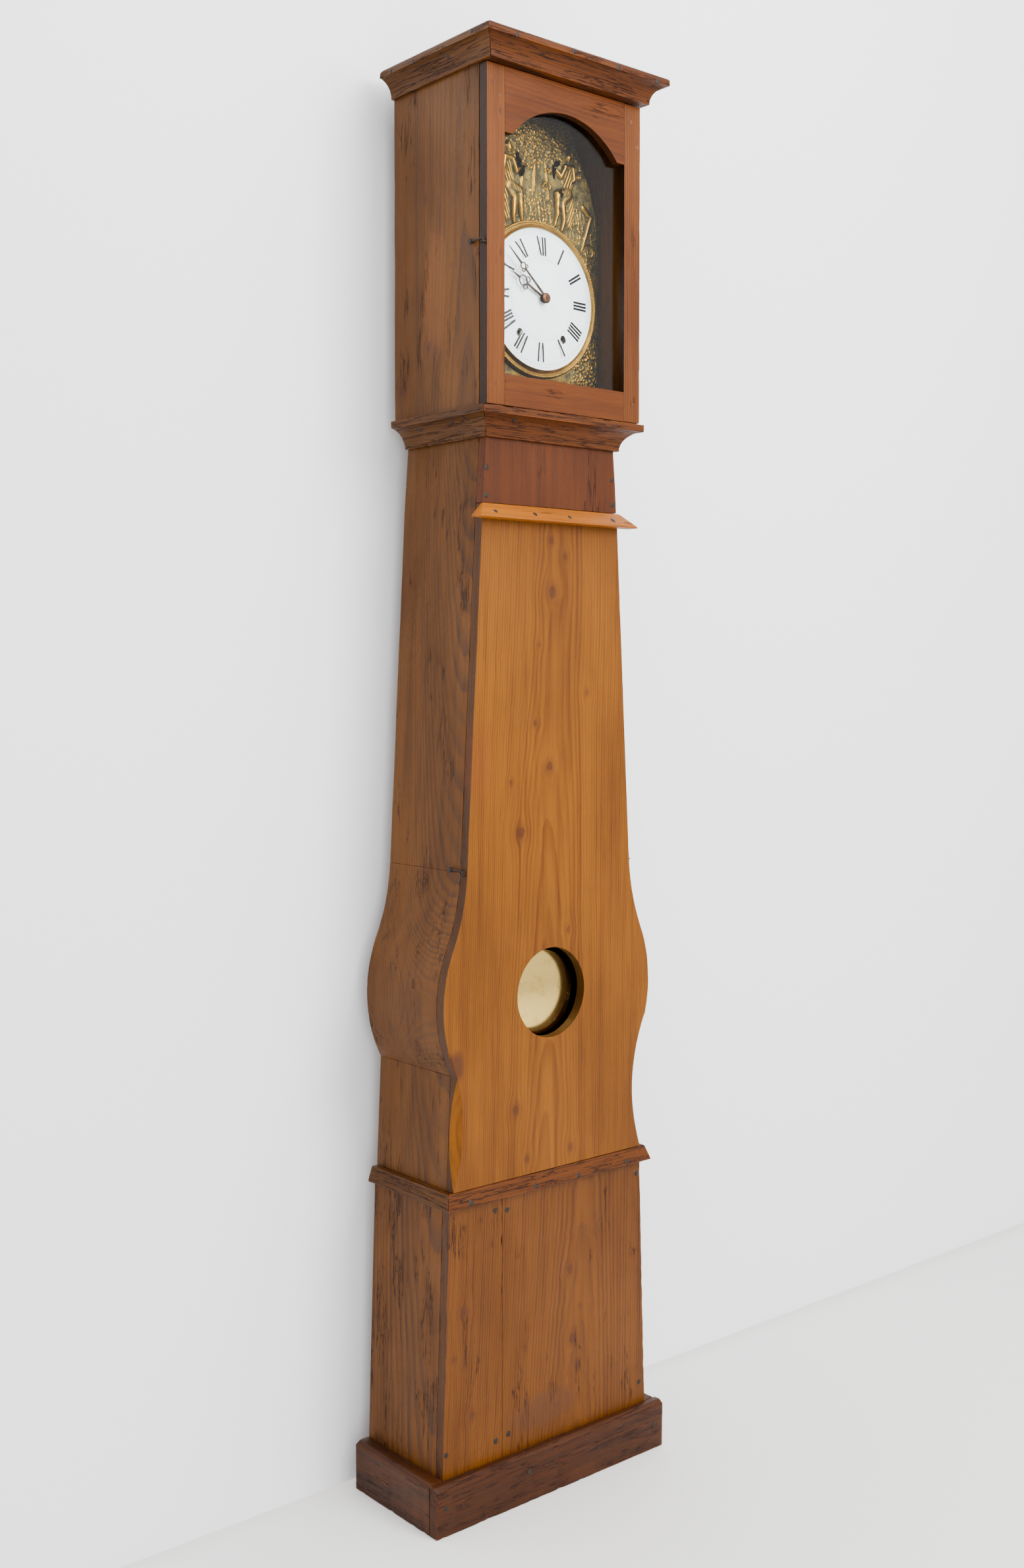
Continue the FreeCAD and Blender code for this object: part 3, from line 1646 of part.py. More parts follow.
iron("strike_hammer", [hammer_arbor, hammer_arm, hammer_head])

# ---------------------------------------------------------------- pendulum
# The rod hangs in line with the anchor's arbor. A ring in it clears the hands' arbor.
ROD_BACK = "pendulum_depth - rod_thickness / 2"
ROD_FRONT = "pendulum_depth + rod_thickness / 2"
rod_pieces = [
    block(
        "rod_upper",
        "0 - rod_width / 2",
        "rod_width / 2",
        ROD_BACK,
        ROD_FRONT,
        "dial_height + ring_radius",
        "anchor_height + 12",
        final=False,
    ),
    block(
        "rod_lower",
        "0 - rod_width / 2",
        "rod_width / 2",
        ROD_BACK,
        ROD_FRONT,
        "bob_height - bob_radius - 40",
        "dial_height - ring_radius",
        final=False,
    ),
    rod("rod_ring", "ring_radius + 4", "rod_thickness", "0", ROD_BACK, "dial_height", "Y", final=False),
]
rod_blank = doc.addObject("Part::MultiFuse", "rod_blank")
rod_blank.Shapes = rod_pieces
ring_hole = rod("ring_hole", "ring_radius", "20", "0", "pendulum_depth - 10", "dial_height", "Y", final=False)
cut("pendulum_rod", rod_blank, ring_hole)

# The disc hangs close behind the window, in front of the rod. A boss on its back holds the rod.
BOB_BULGE = "( bob_front - bob_back - bob_rim )"
BOB_CAP = (
    "( ( bob_radius * bob_radius + " + BOB_BULGE + " * " + BOB_BULGE + " ) / ( " + BOB_BULGE + " * 2 ) )"
)
bob_blank = turned(
    "bob_blank",
    [
        ("0", ROD_BACK + " - bob_boss_back"),
        ("bob_boss", ROD_BACK + " - bob_boss_back"),
        ("bob_boss", "bob_back"),
        ("bob_radius", "bob_back"),
        ("bob_radius", "bob_back + bob_rim"),
        ("0", "bob_front"),
    ],
    "0",
    "bob_height",
    {4: (BOB_CAP, -1)},
    final=False,
)
rod_slot = block(
    "bob_slot",
    "0 - rod_width / 2 - 0.1",
    "rod_width / 2 + 0.1",
    ROD_BACK + " - 0.1",
    ROD_FRONT + " + 0.1",
    "bob_height - bob_radius - 5",
    "bob_height + bob_radius + 5",
    final=False,
)
cut("pendulum_bob", bob_blank, rod_slot)

# ---------------------------------------------------------------- driving weights
for weight_name, sign in (("going_weight", "0 - "), ("strike_weight", "0 + ")):
    across = sign + "( hole_across + drum_radius )"
    drum = rod(
        weight_name + "_drum",
        "weight_radius",
        "weight_height",
        across,
        "weight_depth",
        "weight_foot",
        final=False,
    )
    neck = rod(
        weight_name + "_neck",
        "4",
        "16",
        across,
        "weight_depth",
        "weight_foot + weight_height",
        final=False,
    )
    loop = doc.addObject("Part::Torus", weight_name + "_loop")
    loop.Radius1 = 9.0
    loop.Radius2 = 2.5
    loop.Placement = FreeCAD.Placement(FreeCAD.Vector(), FreeCAD.Rotation(FreeCAD.Vector(1, 0, 0), 90))
    place(loop, across, "weight_depth", "weight_foot + weight_height + 23")
    join(weight_name, [drum, neck, loop])

# ---------------------------------------------------------------- checks and export
doc.recompute()
failed = [thing.Name for thing in doc.Objects if "Invalid" in thing.State or "Error" in thing.State]
if failed:
    raise RuntimeError("failed objects: " + ", ".join(failed))
for name, piece in PARTS.items():
    if piece.Shape.isNull() or not piece.Shape.isValid():
        raise RuntimeError("bad shape: " + name)
os.makedirs("parts", exist_ok=True)
for name, piece in PARTS.items():
    piece.Shape.exportStep("parts/" + name + ".step")
print(len(PARTS), "nodes written")
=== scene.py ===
import json
import math
import random

import bmesh
import bpy
import numpy as np
from mathutils import Euler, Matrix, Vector, noise
from mathutils.bvhtree import BVHTree

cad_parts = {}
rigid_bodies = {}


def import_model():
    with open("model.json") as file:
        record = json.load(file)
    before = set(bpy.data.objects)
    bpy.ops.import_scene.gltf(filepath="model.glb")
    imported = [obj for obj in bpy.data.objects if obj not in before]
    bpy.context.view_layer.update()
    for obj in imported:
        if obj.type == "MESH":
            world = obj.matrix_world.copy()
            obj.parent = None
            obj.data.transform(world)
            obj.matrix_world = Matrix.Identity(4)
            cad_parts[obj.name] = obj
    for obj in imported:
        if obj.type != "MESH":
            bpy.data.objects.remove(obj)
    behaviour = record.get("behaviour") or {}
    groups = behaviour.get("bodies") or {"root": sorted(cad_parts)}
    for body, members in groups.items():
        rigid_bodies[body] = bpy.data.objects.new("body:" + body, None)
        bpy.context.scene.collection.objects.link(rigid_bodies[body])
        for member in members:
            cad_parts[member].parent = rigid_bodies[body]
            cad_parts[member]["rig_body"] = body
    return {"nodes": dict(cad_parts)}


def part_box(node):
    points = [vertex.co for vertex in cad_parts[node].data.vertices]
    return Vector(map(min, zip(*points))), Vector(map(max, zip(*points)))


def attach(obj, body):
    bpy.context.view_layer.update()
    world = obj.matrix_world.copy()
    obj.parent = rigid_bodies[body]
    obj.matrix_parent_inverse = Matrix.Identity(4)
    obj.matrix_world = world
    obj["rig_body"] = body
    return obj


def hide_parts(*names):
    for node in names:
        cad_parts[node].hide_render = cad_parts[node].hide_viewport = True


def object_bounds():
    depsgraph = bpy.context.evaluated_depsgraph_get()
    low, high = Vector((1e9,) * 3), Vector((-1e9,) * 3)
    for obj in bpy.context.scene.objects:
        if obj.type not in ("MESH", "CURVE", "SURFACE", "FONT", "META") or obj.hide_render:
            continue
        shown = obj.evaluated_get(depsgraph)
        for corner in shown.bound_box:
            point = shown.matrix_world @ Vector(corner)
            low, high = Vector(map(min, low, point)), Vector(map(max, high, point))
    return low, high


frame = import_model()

nodes = frame["nodes"]
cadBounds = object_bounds()
backPlane = cadBounds[1][1]  # depths are counted forward from here
mm = 0.001


def bodyOf(nodeName):
    return nodes[nodeName]["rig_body"]


# helpers for shader trees

def addNode(tree, kind, links=None, **settings):
    made = tree.nodes.new("ShaderNode" + kind)
    for key, value in settings.items():
        setattr(made, key, value)
    for key, value in (links or {}).items():
        if isinstance(value, bpy.types.NodeSocket):
            tree.links.new(value, made.inputs[key])
        else:
            made.inputs[key].default_value = value
    return made


def maths(tree, operation, first, second=None, clamp=False):
    links = {0: first}
    if second is not None:
        links[1] = second
    return addNode(tree, "Math", links, operation=operation, use_clamp=clamp).outputs[0]


def stretch(tree, value, low, high, toLow=0.0, toHigh=1.0):
    links = {"Value": value, "From Min": low, "From Max": high, "To Min": toLow, "To Max": toHigh}
    return addNode(tree, "MapRange", links, interpolation_type="SMOOTHSTEP").outputs[0]


def scaled(tree, vector, x, y, z):
    return addNode(tree, "VectorMath", {0: vector, 1: (x, y, z)}, operation="MULTIPLY").outputs[0]


def shifted(tree, vector, other):
    return addNode(tree, "VectorMath", {0: vector, 1: other}, operation="ADD").outputs[0]


def blendColour(tree, share, first, second, kind="MIX"):
    made = addNode(tree, "Mix", None, data_type="RGBA", blend_type=kind)
    for socket, value in ((made.inputs[0], share), (made.inputs[6], first), (made.inputs[7], second)):
        if isinstance(value, bpy.types.NodeSocket):
            tree.links.new(value, socket)
        else:
            socket.default_value = value
    return made.outputs[2]


def cloud(tree, vector, scale, detail=3.0, roughness=0.55, warp=0.0):
    links = {"Vector": vector, "Scale": scale, "Detail": detail, "Roughness": roughness, "Distortion": warp}
    return addNode(tree, "TexNoise", links).outputs["Fac"]


def newGroup(name, inputs, outputs):
    tree = bpy.data.node_groups.new(name, "ShaderNodeTree")
    kinds = {"v": "NodeSocketVector", "f": "NodeSocketFloat", "c": "NodeSocketColor"}
    for label, kind, default in inputs:
        socket = tree.interface.new_socket(label, in_out="INPUT", socket_type=kinds[kind])
        if default is not None:
            socket.default_value = default
    for label, kind in outputs:
        tree.interface.new_socket(label, in_out="OUTPUT", socket_type=kinds[kind])
    return tree, tree.nodes.new("NodeGroupInput").outputs, tree.nodes.new("NodeGroupOutput").inputs


def useGroup(tree, group, links):
    made = tree.nodes.new("ShaderNodeGroup")
    made.node_tree = group
    for key, value in links.items():
        if isinstance(value, bpy.types.NodeSocket):
            tree.links.new(value, made.inputs[key])
        else:
            made.inputs[key].default_value = value
    return made.outputs


def colour(red, green, blue):
    # from 0-255 to the linear colour that shaders take
    linear = [((v / 255 + 0.055) / 1.055) ** 2.4 if v > 10 else v / 255 / 12.92 for v in (red, green, blue)]
    return (*linear, 1.0)


# shared effects

# noise scales are across, deep and along the grain, in waves a metre
grainShape = {
    "drift": (5, 5, 1.3), "uneven": (9, 9, 1.0), "unevenRings": 2.2, "leanDeep": 0.6,
    "fibres": (900, 900, 22), "fibreShare": 0.24, "streaks": (75, 75, 2.2), "streakShare": 0.42,
    "blotches": (7, 7, 3.2), "blotchDark": 0.78, "blotchPale": 1.12, "greenFall": 1.12, "blueFall": 1.25,
    "ringHigh": 0.5, "fibreDeep": 0.8, "dullest": 0.56, "shiniest": 0.42, "ringShine": 0.06,
}


def makeGrainGroup():
    # growth rings round a leaning pith, cut by the board's faces; the grain runs along Z
    tree, given, out = newGroup(
        "pineGrain",
        [
            ("Vector", "v", None), ("Pale", "c", (0.5, 0.3, 0.1, 1)), ("Dark", "c", (0.2, 0.1, 0.03, 1)),
            ("Ring Width", "f", 0.004), ("Pith Across", "f", 0.0), ("Pith Depth", "f", 0.04),
            ("Lean", "f", 0.01), ("Wobble", "f", 0.01), ("Contrast", "f", 0.6), ("Seed", "f", 0.0)],
        [("Color", "c"), ("Height", "f"), ("Roughness", "f")])
    seedShift = addNode(
        tree, "CombineXYZ", {"X": given["Seed"], "Y": given["Seed"], "Z": given["Seed"]}).outputs[0]
    spot = shifted(tree, given["Vector"], seedShift)
    drift = addNode(
        tree, "TexNoise", {"Vector": scaled(tree, spot, *grainShape["drift"]), "Scale": 1.0, "Detail": 3.0}
    ).outputs["Color"]
    drift = addNode(tree, "VectorMath", {0: drift, 1: (0.5, 0.5, 0.5)}, operation="SUBTRACT").outputs[0]
    drift = addNode(tree, "VectorMath", {0: drift, "Scale": given["Wobble"]}, operation="SCALE").outputs[0]
    place = addNode(tree, "SeparateXYZ", {0: shifted(tree, given["Vector"], drift)}).outputs
    lean = maths(tree, "MULTIPLY", place["Z"], given["Lean"])
    across = maths(tree, "SUBTRACT", maths(tree, "SUBTRACT", place["X"], given["Pith Across"]), lean)
    inward = maths(
        tree, "SUBTRACT", maths(tree, "SUBTRACT", place["Y"], given["Pith Depth"]),
        maths(tree, "MULTIPLY", lean, grainShape["leanDeep"]))
    reach = maths(
        tree, "SQRT",
        maths(tree, "ADD", maths(tree, "MULTIPLY", across, across), maths(tree, "MULTIPLY", inward, inward)))
    count = maths(tree, "DIVIDE", reach, given["Ring Width"])
    uneven = cloud(tree, scaled(tree, spot, *grainShape["uneven"]), 1.0)
    count = maths(tree, "ADD", count, maths(tree, "MULTIPLY", uneven, grainShape["unevenRings"]))
    part = maths(tree, "FRACT", count)
    late = maths(tree, "MULTIPLY", stretch(tree, part, 0.25, 0.86), stretch(tree, part, 0.9, 1.0, 1.0, 0.0))
    year = addNode(
        tree, "TexWhiteNoise", {"W": maths(tree, "FLOOR", count)}, noise_dimensions="1D").outputs["Value"]
    late = maths(tree, "MULTIPLY", late, stretch(tree, year, 0.0, 1.0, 0.35, 1.0))
    fibres = cloud(tree, scaled(tree, spot, *grainShape["fibres"]), 1.0, 3.0, 0.6)
    streaks = cloud(tree, scaled(tree, spot, *grainShape["streaks"]), 1.0, 4.0, 0.6)
    blotches = cloud(tree, scaled(tree, spot, *grainShape["blotches"]), 1.0, 3.0)
    mix = maths(tree, "MULTIPLY", late, given["Contrast"])
    mix = maths(tree, "ADD", mix, stretch(tree, streaks, 0.38, 0.75, 0.0, grainShape["streakShare"]))
    fibreMix = stretch(tree, fibres, 0.4, 0.75, 0.0, grainShape["fibreShare"])
    mix = maths(tree, "ADD", mix, fibreMix, clamp=True)
    tint = blendColour(tree, mix, given["Pale"], given["Dark"])
    shade = stretch(tree, blotches, 0.28, 0.72, grainShape["blotchDark"], grainShape["blotchPale"])
    green = maths(tree, "POWER", shade, grainShape["greenFall"])
    blue = maths(tree, "POWER", shade, grainShape["blueFall"])
    shade = addNode(tree, "CombineColor", {"Red": shade, "Green": green, "Blue": blue}).outputs[0]
    tree.links.new(blendColour(tree, 1.0, tint, shade, "MULTIPLY"), out["Color"])
    height = maths(
        tree, "SUBTRACT", maths(tree, "MULTIPLY", late, grainShape["ringHigh"]),
        maths(tree, "MULTIPLY", stretch(tree, fibres, 0.45, 0.7), grainShape["fibreDeep"]))
    tree.links.new(height, out["Height"])
    rough = stretch(tree, blotches, 0.3, 0.7, grainShape["dullest"], grainShape["shiniest"])
    rough = maths(tree, "SUBTRACT", rough, maths(tree, "MULTIPLY", late, grainShape["ringShine"]))
    tree.links.new(rough, out["Roughness"])
    return tree


knotShape = {
    "ragged": (160, 160, 120), "raggedShare": 0.9, "squash": 0.8, "spread": -0.14, "pull": -0.86,
    "rings": 17.0, "ringShade": 0.16, "halo": 0.34, "haloReach": 2.6,
}


def makeKnotGroup():
    # one knot: the grain parts round it, and its end shows as a dark ringed oval
    tree, given, out = newGroup(
        "pineKnot",
        [
            ("Vector", "v", None), ("Mask", "f", 0.0), ("Across", "f", 0.0), ("Height", "f", 0.0),
            ("Size", "f", 0.006), ("Depth", "f", 1.0)],
        [("Vector", "v"), ("Mask", "f")])
    place = addNode(tree, "SeparateXYZ", {0: given["Vector"]}).outputs
    across = maths(tree, "SUBTRACT", place["X"], given["Across"])
    along = maths(tree, "SUBTRACT", place["Z"], given["Height"])
    ragged = cloud(tree, scaled(tree, given["Vector"], *knotShape["ragged"]), 1.0, 2.0)
    u = maths(tree, "DIVIDE", across, given["Size"])
    v = maths(tree, "DIVIDE", maths(tree, "MULTIPLY", along, knotShape["squash"]), given["Size"])
    reach = maths(
        tree, "SQRT", maths(tree, "ADD", maths(tree, "MULTIPLY", u, u), maths(tree, "MULTIPLY", v, v)))
    fall = maths(tree, "MULTIPLY", maths(tree, "MULTIPLY", reach, reach), knotShape["spread"])
    near = maths(tree, "POWER", 2.718, fall)
    pull = maths(tree, "MULTIPLY", maths(tree, "MULTIPLY", across, near), knotShape["pull"])
    moved = addNode(tree, "CombineXYZ", {"X": pull, "Y": 0.0, "Z": 0.0}).outputs[0]
    tree.links.new(shifted(tree, given["Vector"], moved), out["Vector"])
    ragged = maths(tree, "MULTIPLY", maths(tree, "SUBTRACT", ragged, 0.5), knotShape["raggedShare"])
    rough = maths(tree, "ADD", reach, ragged)
    spot = stretch(tree, rough, 0.7, 1.15, 1.0, 0.0)
    rings = maths(tree, "SINE", maths(tree, "MULTIPLY", reach, knotShape["rings"]))
    rings = maths(tree, "MULTIPLY", rings, knotShape["ringShade"])
    rings = maths(tree, "ADD", rings, 1 - knotShape["ringShade"])
    halo = stretch(tree, reach, 0.9, knotShape["haloReach"], knotShape["halo"], 0.0)
    mask = maths(
        tree, "MULTIPLY", maths(tree, "MAXIMUM", maths(tree, "MULTIPLY", spot, rings), halo), given["Depth"])
    tree.links.new(maths(tree, "MAXIMUM", mask, given["Mask"]), out["Mask"])
    return tree


wearShape = {"broken": (90, 90, 90), "samples": 3, "flat": 0.99, "sharp": 0.72}


def makeWearGroup():
    # rubbed corners found by comparing the true normal with a rounded one
    tree, given, out = newGroup(
        "edgeWear", [("Vector", "v", None), ("Width", "f", 0.004), ("Amount", "f", 1.0)], [("Mask", "f")])
    rounded = addNode(tree, "Bevel", {"Radius": given["Width"]}, samples=wearShape["samples"]).outputs[0]
    true = addNode(tree, "NewGeometry").outputs["Normal"]
    same = addNode(tree, "VectorMath", {0: rounded, 1: true}, operation="DOT_PRODUCT").outputs["Value"]
    broken = cloud(tree, scaled(tree, given["Vector"], *wearShape["broken"]), 1.0, 4.0, 0.65)
    broken = stretch(tree, broken, 0.36, 0.66)
    corner = stretch(tree, same, wearShape["sharp"], wearShape["flat"], 1.0, 0.0)
    mask = maths(tree, "MULTIPLY", corner, broken)
    tree.links.new(maths(tree, "MULTIPLY", mask, given["Amount"], clamp=True), out["Mask"])
    return tree


decayShape = {
    "cracks": (130, 130, 7), "places": (26, 26, 9), "placesPerCrack": 0.26, "holes": 120.0,
    "holeEdge": (0.09, 0.16), "chosen": (0.86, 0.9),
}


def makeDecayGroup():
    # drying cracks along Z and small worm holes
    tree, given, out = newGroup(
        "cracksAndWorm", [("Vector", "v", None), ("Cracks", "f", 0.5), ("Worm", "f", 0.5)], [("Mask", "f")])
    length = cloud(tree, scaled(tree, given["Vector"], *decayShape["cracks"]), 1.0, 5.0, 0.6, 0.4)
    split = maths(tree, "ABSOLUTE", maths(tree, "SUBTRACT", length, 0.5))
    split = stretch(tree, split, 0.004, 0.03, 1.0, 0.0)
    where = cloud(tree, scaled(tree, given["Vector"], *decayShape["places"]), 1.0, 3.0)
    more = maths(tree, "MULTIPLY", given["Cracks"], decayShape["placesPerCrack"])
    split = maths(tree, "MULTIPLY", split, stretch(tree, maths(tree, "ADD", where, more), 0.62, 0.7))
    cells = addNode(tree, "TexVoronoi", {"Vector": given["Vector"], "Scale": decayShape["holes"]})
    chosen = addNode(tree, "SeparateColor", {0: cells.outputs["Color"]}).outputs[0]
    chosen = stretch(tree, chosen, *decayShape["chosen"])
    hole = stretch(tree, cells.outputs["Distance"], *decayShape["holeEdge"], 1.0, 0.0)
    hole = maths(tree, "MULTIPLY", maths(tree, "MULTIPLY", hole, chosen), given["Worm"])
    tree.links.new(maths(tree, "MAXIMUM", split, hole, clamp=True), out["Mask"])
    return tree


grainGroup, knotGroup = makeGrainGroup(), makeKnotGroup()
wearGroup, decayGroup = makeWearGroup(), makeDecayGroup()


def newMaterial(name):
    made = bpy.data.materials.new(name)
    made.use_nodes = True
    tree = made.node_tree
    return made, tree, tree.nodes["Principled BSDF"]


# directions of the grain: the vector is turned so that the grain runs along Z and the face looks along Y
quarter = math.radians(90)
turns = {
    "up": (0, 0, 0), "across": (0, quarter, 0), "deep": (quarter, 0, quarter), "sideUp": (0, 0, quarter),
}


woodFinish = {
    "crackShare": 0.86, "crackDull": 0.3, "crackDeep": 4.0, "rubbedShine": 0.08, "bump": 0.55,
    "bumpDepth": 0.00035, "waxRough": 0.3, "patchEdge": (40, 40, 20), "patchRagged": 0.9,
}


def woodMaterial(name, look):
    made, tree, shader = newMaterial(name)
    at = addNode(tree, "TexCoord").outputs["Object"]
    turned = addNode(
        tree, "VectorRotate", {"Vector": at, "Rotation": turns[look["grain"]]}, rotation_type="EULER_XYZ"
    ).outputs[0]
    vector, knots = turned, None
    for across, height, size, depth in look.get("knots", ()):
        links = {
            "Vector": vector, "Across": across * mm, "Height": height * mm, "Size": size * mm,
            "Depth": depth}
        if knots is not None:
            links["Mask"] = knots
        found = useGroup(tree, knotGroup, links)
        vector, knots = found["Vector"], found["Mask"]
    grain = useGroup(
        tree, grainGroup,
        {
            "Vector": vector, "Pale": colour(*look["pale"]), "Dark": colour(*look["dark"]),
            "Ring Width": look["ring"] * mm, "Pith Across": look["pith"][0] * mm,
            "Pith Depth": look["pith"][1] * mm, "Lean": look["lean"], "Wobble": look["wobble"] * mm,
            "Contrast": look["contrast"], "Seed": look["seed"]})
    tint, height, rough = grain["Color"], grain["Height"], grain["Roughness"]
    decay = useGroup(
        tree, decayGroup, {"Vector": turned, "Cracks": look["cracks"], "Worm": look["worm"]})["Mask"]
    if knots is not None:
        tint = blendColour(tree, knots, tint, colour(*look["knotColour"]))
    cracked = maths(tree, "MULTIPLY", decay, woodFinish["crackShare"])
    tint = blendColour(tree, cracked, tint, colour(*look["crackColour"]))
    # painted shade: faces that look neither forward nor back, such as board edges, the door's edges and the
    # window's reveal, are darkened in the base colour
    facingOut = addNode(tree, "SeparateXYZ", {0: addNode(tree, "TexCoord").outputs["Normal"]}).outputs["Y"]
    edges = stretch(tree, maths(tree, "ABSOLUTE", facingOut), 0.1, 0.45, look["paintedEdgeShade"], 1.0)
    edges = addNode(tree, "CombineColor", {"Red": edges, "Green": edges, "Blue": edges}).outputs[0]
    tint = blendColour(tree, 1.0, tint, edges, "MULTIPLY")
    wear = useGroup(
        tree, wearGroup, {"Vector": at, "Width": look["wearWidth"] * mm, "Amount": look["wear"]})["Mask"]
    tint = blendColour(tree, wear, tint, colour(*look["wornColour"]))
    for patch in look.get("patches", ()):
        near = addNode(tree, "VectorMath", {0: at, 1: patch["at"]}, operation="SUBTRACT").outputs[0]
        near = scaled(tree, near, *[1 / s for s in patch["size"]])
        near = addNode(tree, "VectorMath", {0: near}, operation="LENGTH").outputs["Value"]
        ragged = cloud(tree, scaled(tree, at, *woodFinish["patchEdge"]), 1.0, 4.0)
        edge = maths(tree, "ADD", near, maths(tree, "MULTIPLY", ragged, woodFinish["patchRagged"]))
        share = maths(tree, "MULTIPLY", stretch(tree, edge, 0.9, 1.5, 1.0, 0.0), patch["share"])
        tint = blendColour(tree, share, tint, colour(*patch["colour"]))
    tree.links.new(tint, shader.inputs["Base Color"])
    polished = maths(tree, "ADD", rough, maths(tree, "MULTIPLY", decay, woodFinish["crackDull"]))
    polished = maths(tree, "SUBTRACT", polished, maths(tree, "MULTIPLY", wear, woodFinish["rubbedShine"]))
    tree.links.new(polished, shader.inputs["Roughness"])
    relief = maths(
        tree, "SUBTRACT", maths(tree, "MULTIPLY", height, look["relief"]),
        maths(tree, "MULTIPLY", decay, woodFinish["crackDeep"]))
    bumpLinks = {"Height": relief, "Strength": woodFinish["bump"], "Distance": woodFinish["bumpDepth"]}
    bump = addNode(tree, "Bump", bumpLinks)
    tree.links.new(bump.outputs[0], shader.inputs["Normal"])
    shader.inputs["Specular IOR Level"].default_value = look["sheen"]
    shader.inputs["Coat Weight"].default_value = look["wax"]
    shader.inputs["Coat Roughness"].default_value = woodFinish["waxRough"]
    return made


# the edge factor in each look is painted shade: it darkens the base colour of faces that look sideways, up or
# down
plainWood = {
    "grain": "up", "ring": 3.6, "pith": (30, 60), "lean": 0.012, "wobble": 16, "contrast": 0.55,
    "seed": 0.3, "cracks": 0.25, "worm": 0.2, "knotColour": (62, 30, 14), "crackColour": (30, 14, 8),
    "wear": 0.4, "wearWidth": 2.5, "wornColour": (120, 60, 18), "relief": 1.0, "sheen": 0.13, "wax": 0.03,
    "paintedEdgeShade": 1.0}

woodLooks = {
    "pineFront": dict(
        plainWood, paintedEdgeShade=0.3, cracks=-0.6, worm=0.15, pale=(114, 65, 1), dark=(70, 31, 1),
        pith=(-30, 30), lean=0.030, wobble=22, contrast=0.5, seed=1.7,
        knots=(
            (-1, 1580, 5, 0.8), (30, 1555, 5, 0.75), (1, 1495, 9, 0.95), (-36, 1281, 4.5, 0.8),
            (-5, 1210, 7, 0.9), (-67, 1103, 8.5, 0.95), (-28, 1409, 3.5, 0.6), (-89, 1186, 4, 0.6),
            (38, 936, 5.5, 0.7), (-79, 651, 7, 0.8), (-53, 566, 5, 0.75), (44, 568, 6, 0.7),
            (80, 1330, 5, 0.6)),
        patches=(
            {
                "at": (-0.150, -0.066, 1.215), "size": (0.03, 0.05, 0.09), "colour": (110, 50, 14),
                "share": 0.25},
            {
                "at": (-0.205, -0.066, 0.742), "size": (0.025, 0.05, 0.03), "colour": (58, 30, 16),
                "share": 0.75})),
    "pineNeck": dict(
        plainWood, pale=(78, 35, 1), dark=(48, 17, 1), seed=3.3, contrast=0.4, pith=(300, 40), wobble=12),
    "pineStrip": dict(
        plainWood, grain="across", pale=(144, 80, 2), dark=(93, 41, 1), seed=2.9, contrast=0.45),
    "pineDoorUp": dict(
        plainWood, cracks=0.0, worm=0.1, paintedEdgeShade=0.16, pale=(97, 49, 2), dark=(57, 24, 1), seed=4.1,
        ring=2.6, knots=((-141, 2236, 3.5, 0.8), (-139, 2018, 3, 0.6), (160, 2012, 3, 0.7))),
    "pineDoorAcross": dict(
        plainWood, cracks=0.0, worm=0.1, paintedEdgeShade=0.4, grain="across", pale=(89, 42, 1), dark=(55, 22, 1),
        seed=5.3, ring=3.0, pith=(2200, 60), lean=0.008, contrast=0.38, wobble=20),
    "pineSide": dict(
        plainWood, grain="sideUp", pale=(88, 50, 4), dark=(47, 23, 2), seed=6.2, ring=3.0, contrast=0.5),
    "pineHoodSide": dict(
        plainWood, grain="sideUp", pale=(86, 49, 4), dark=(46, 23, 2), seed=6.2, ring=3.0, contrast=0.5,
        knots=(
            (-55, 2129, 6, 0.8), (-47, 1889, 8, 0.85), (-32, 1882, 6, 0.8), (-114, 1829, 9, 0.85),
            (12, 2010, 4, 0.6)),
        patches=(
            {
                "at": (-0.17, 0.03, 1.98), "size": (0.05, 0.035, 0.12), "colour": (140, 84, 40),
                "share": 0.22},)),
    "pineMouldAcross": dict(
        plainWood, grain="across", pale=(86, 41, 1), dark=(44, 20, 1), seed=7.7, cracks=1.2, worm=1.0,
        contrast=0.5, wear=0.6),
    "pineMouldDeep": dict(
        plainWood, grain="deep", pale=(80, 45, 4), dark=(39, 19, 2), seed=8.4, cracks=1.2, worm=1.0,
        contrast=0.5, wear=0.6),
    "pineBase": dict(
        plainWood, paintedEdgeShade=0.5, pale=(95, 52, 3), dark=(56, 24, 1), seed=9.1, ring=4.4, cracks=0.2,
        worm=0.3, contrast=0.6, pith=(60, 50), lean=0.05,
        knots=(
            (-183, 341, 6, 0.8), (-167, 169, 6, 0.8), (-205, 270, 4, 0.7), (48, 358, 7, 0.8),
            (53, 238, 7, 0.85), (64, 189, 6, 0.8)),
        patches=(
            {
                "at": (-0.01, -0.06, 0.135), "size": (0.10, 0.05, 0.035), "colour": (74, 42, 22),
                "share": 0.6},)),
    "pineBaseSide": dict(
        plainWood, grain="sideUp", pale=(91, 51, 4), dark=(46, 22, 2), seed=10.5, ring=4.0, cracks=0.5),
    "plinthAcross": dict(
        plainWood, grain="across", pale=(65, 30, 4), dark=(29, 12, 2), seed=11.4, cracks=0.7, worm=0.6,
        wear=0.85, wearWidth=4, wornColour=(104, 50, 18)),
    "plinthDeep": dict(
        plainWood, grain="deep", pale=(63, 29, 4), dark=(28, 12, 2), seed=12.6, cracks=0.7, worm=0.6,
        wear=0.85, wearWidth=4, wornColour=(90, 43, 16)),
    "rawWood": dict(
        plainWood, sheen=0.1, pale=(63, 35, 8), dark=(32, 19, 8), seed=13.8, cracks=0.5, wear=0.1, wax=0.0),
}
woods = {name: woodMaterial(name, look) for name, look in woodLooks.items()}
print("wood finishes:", len(woods))


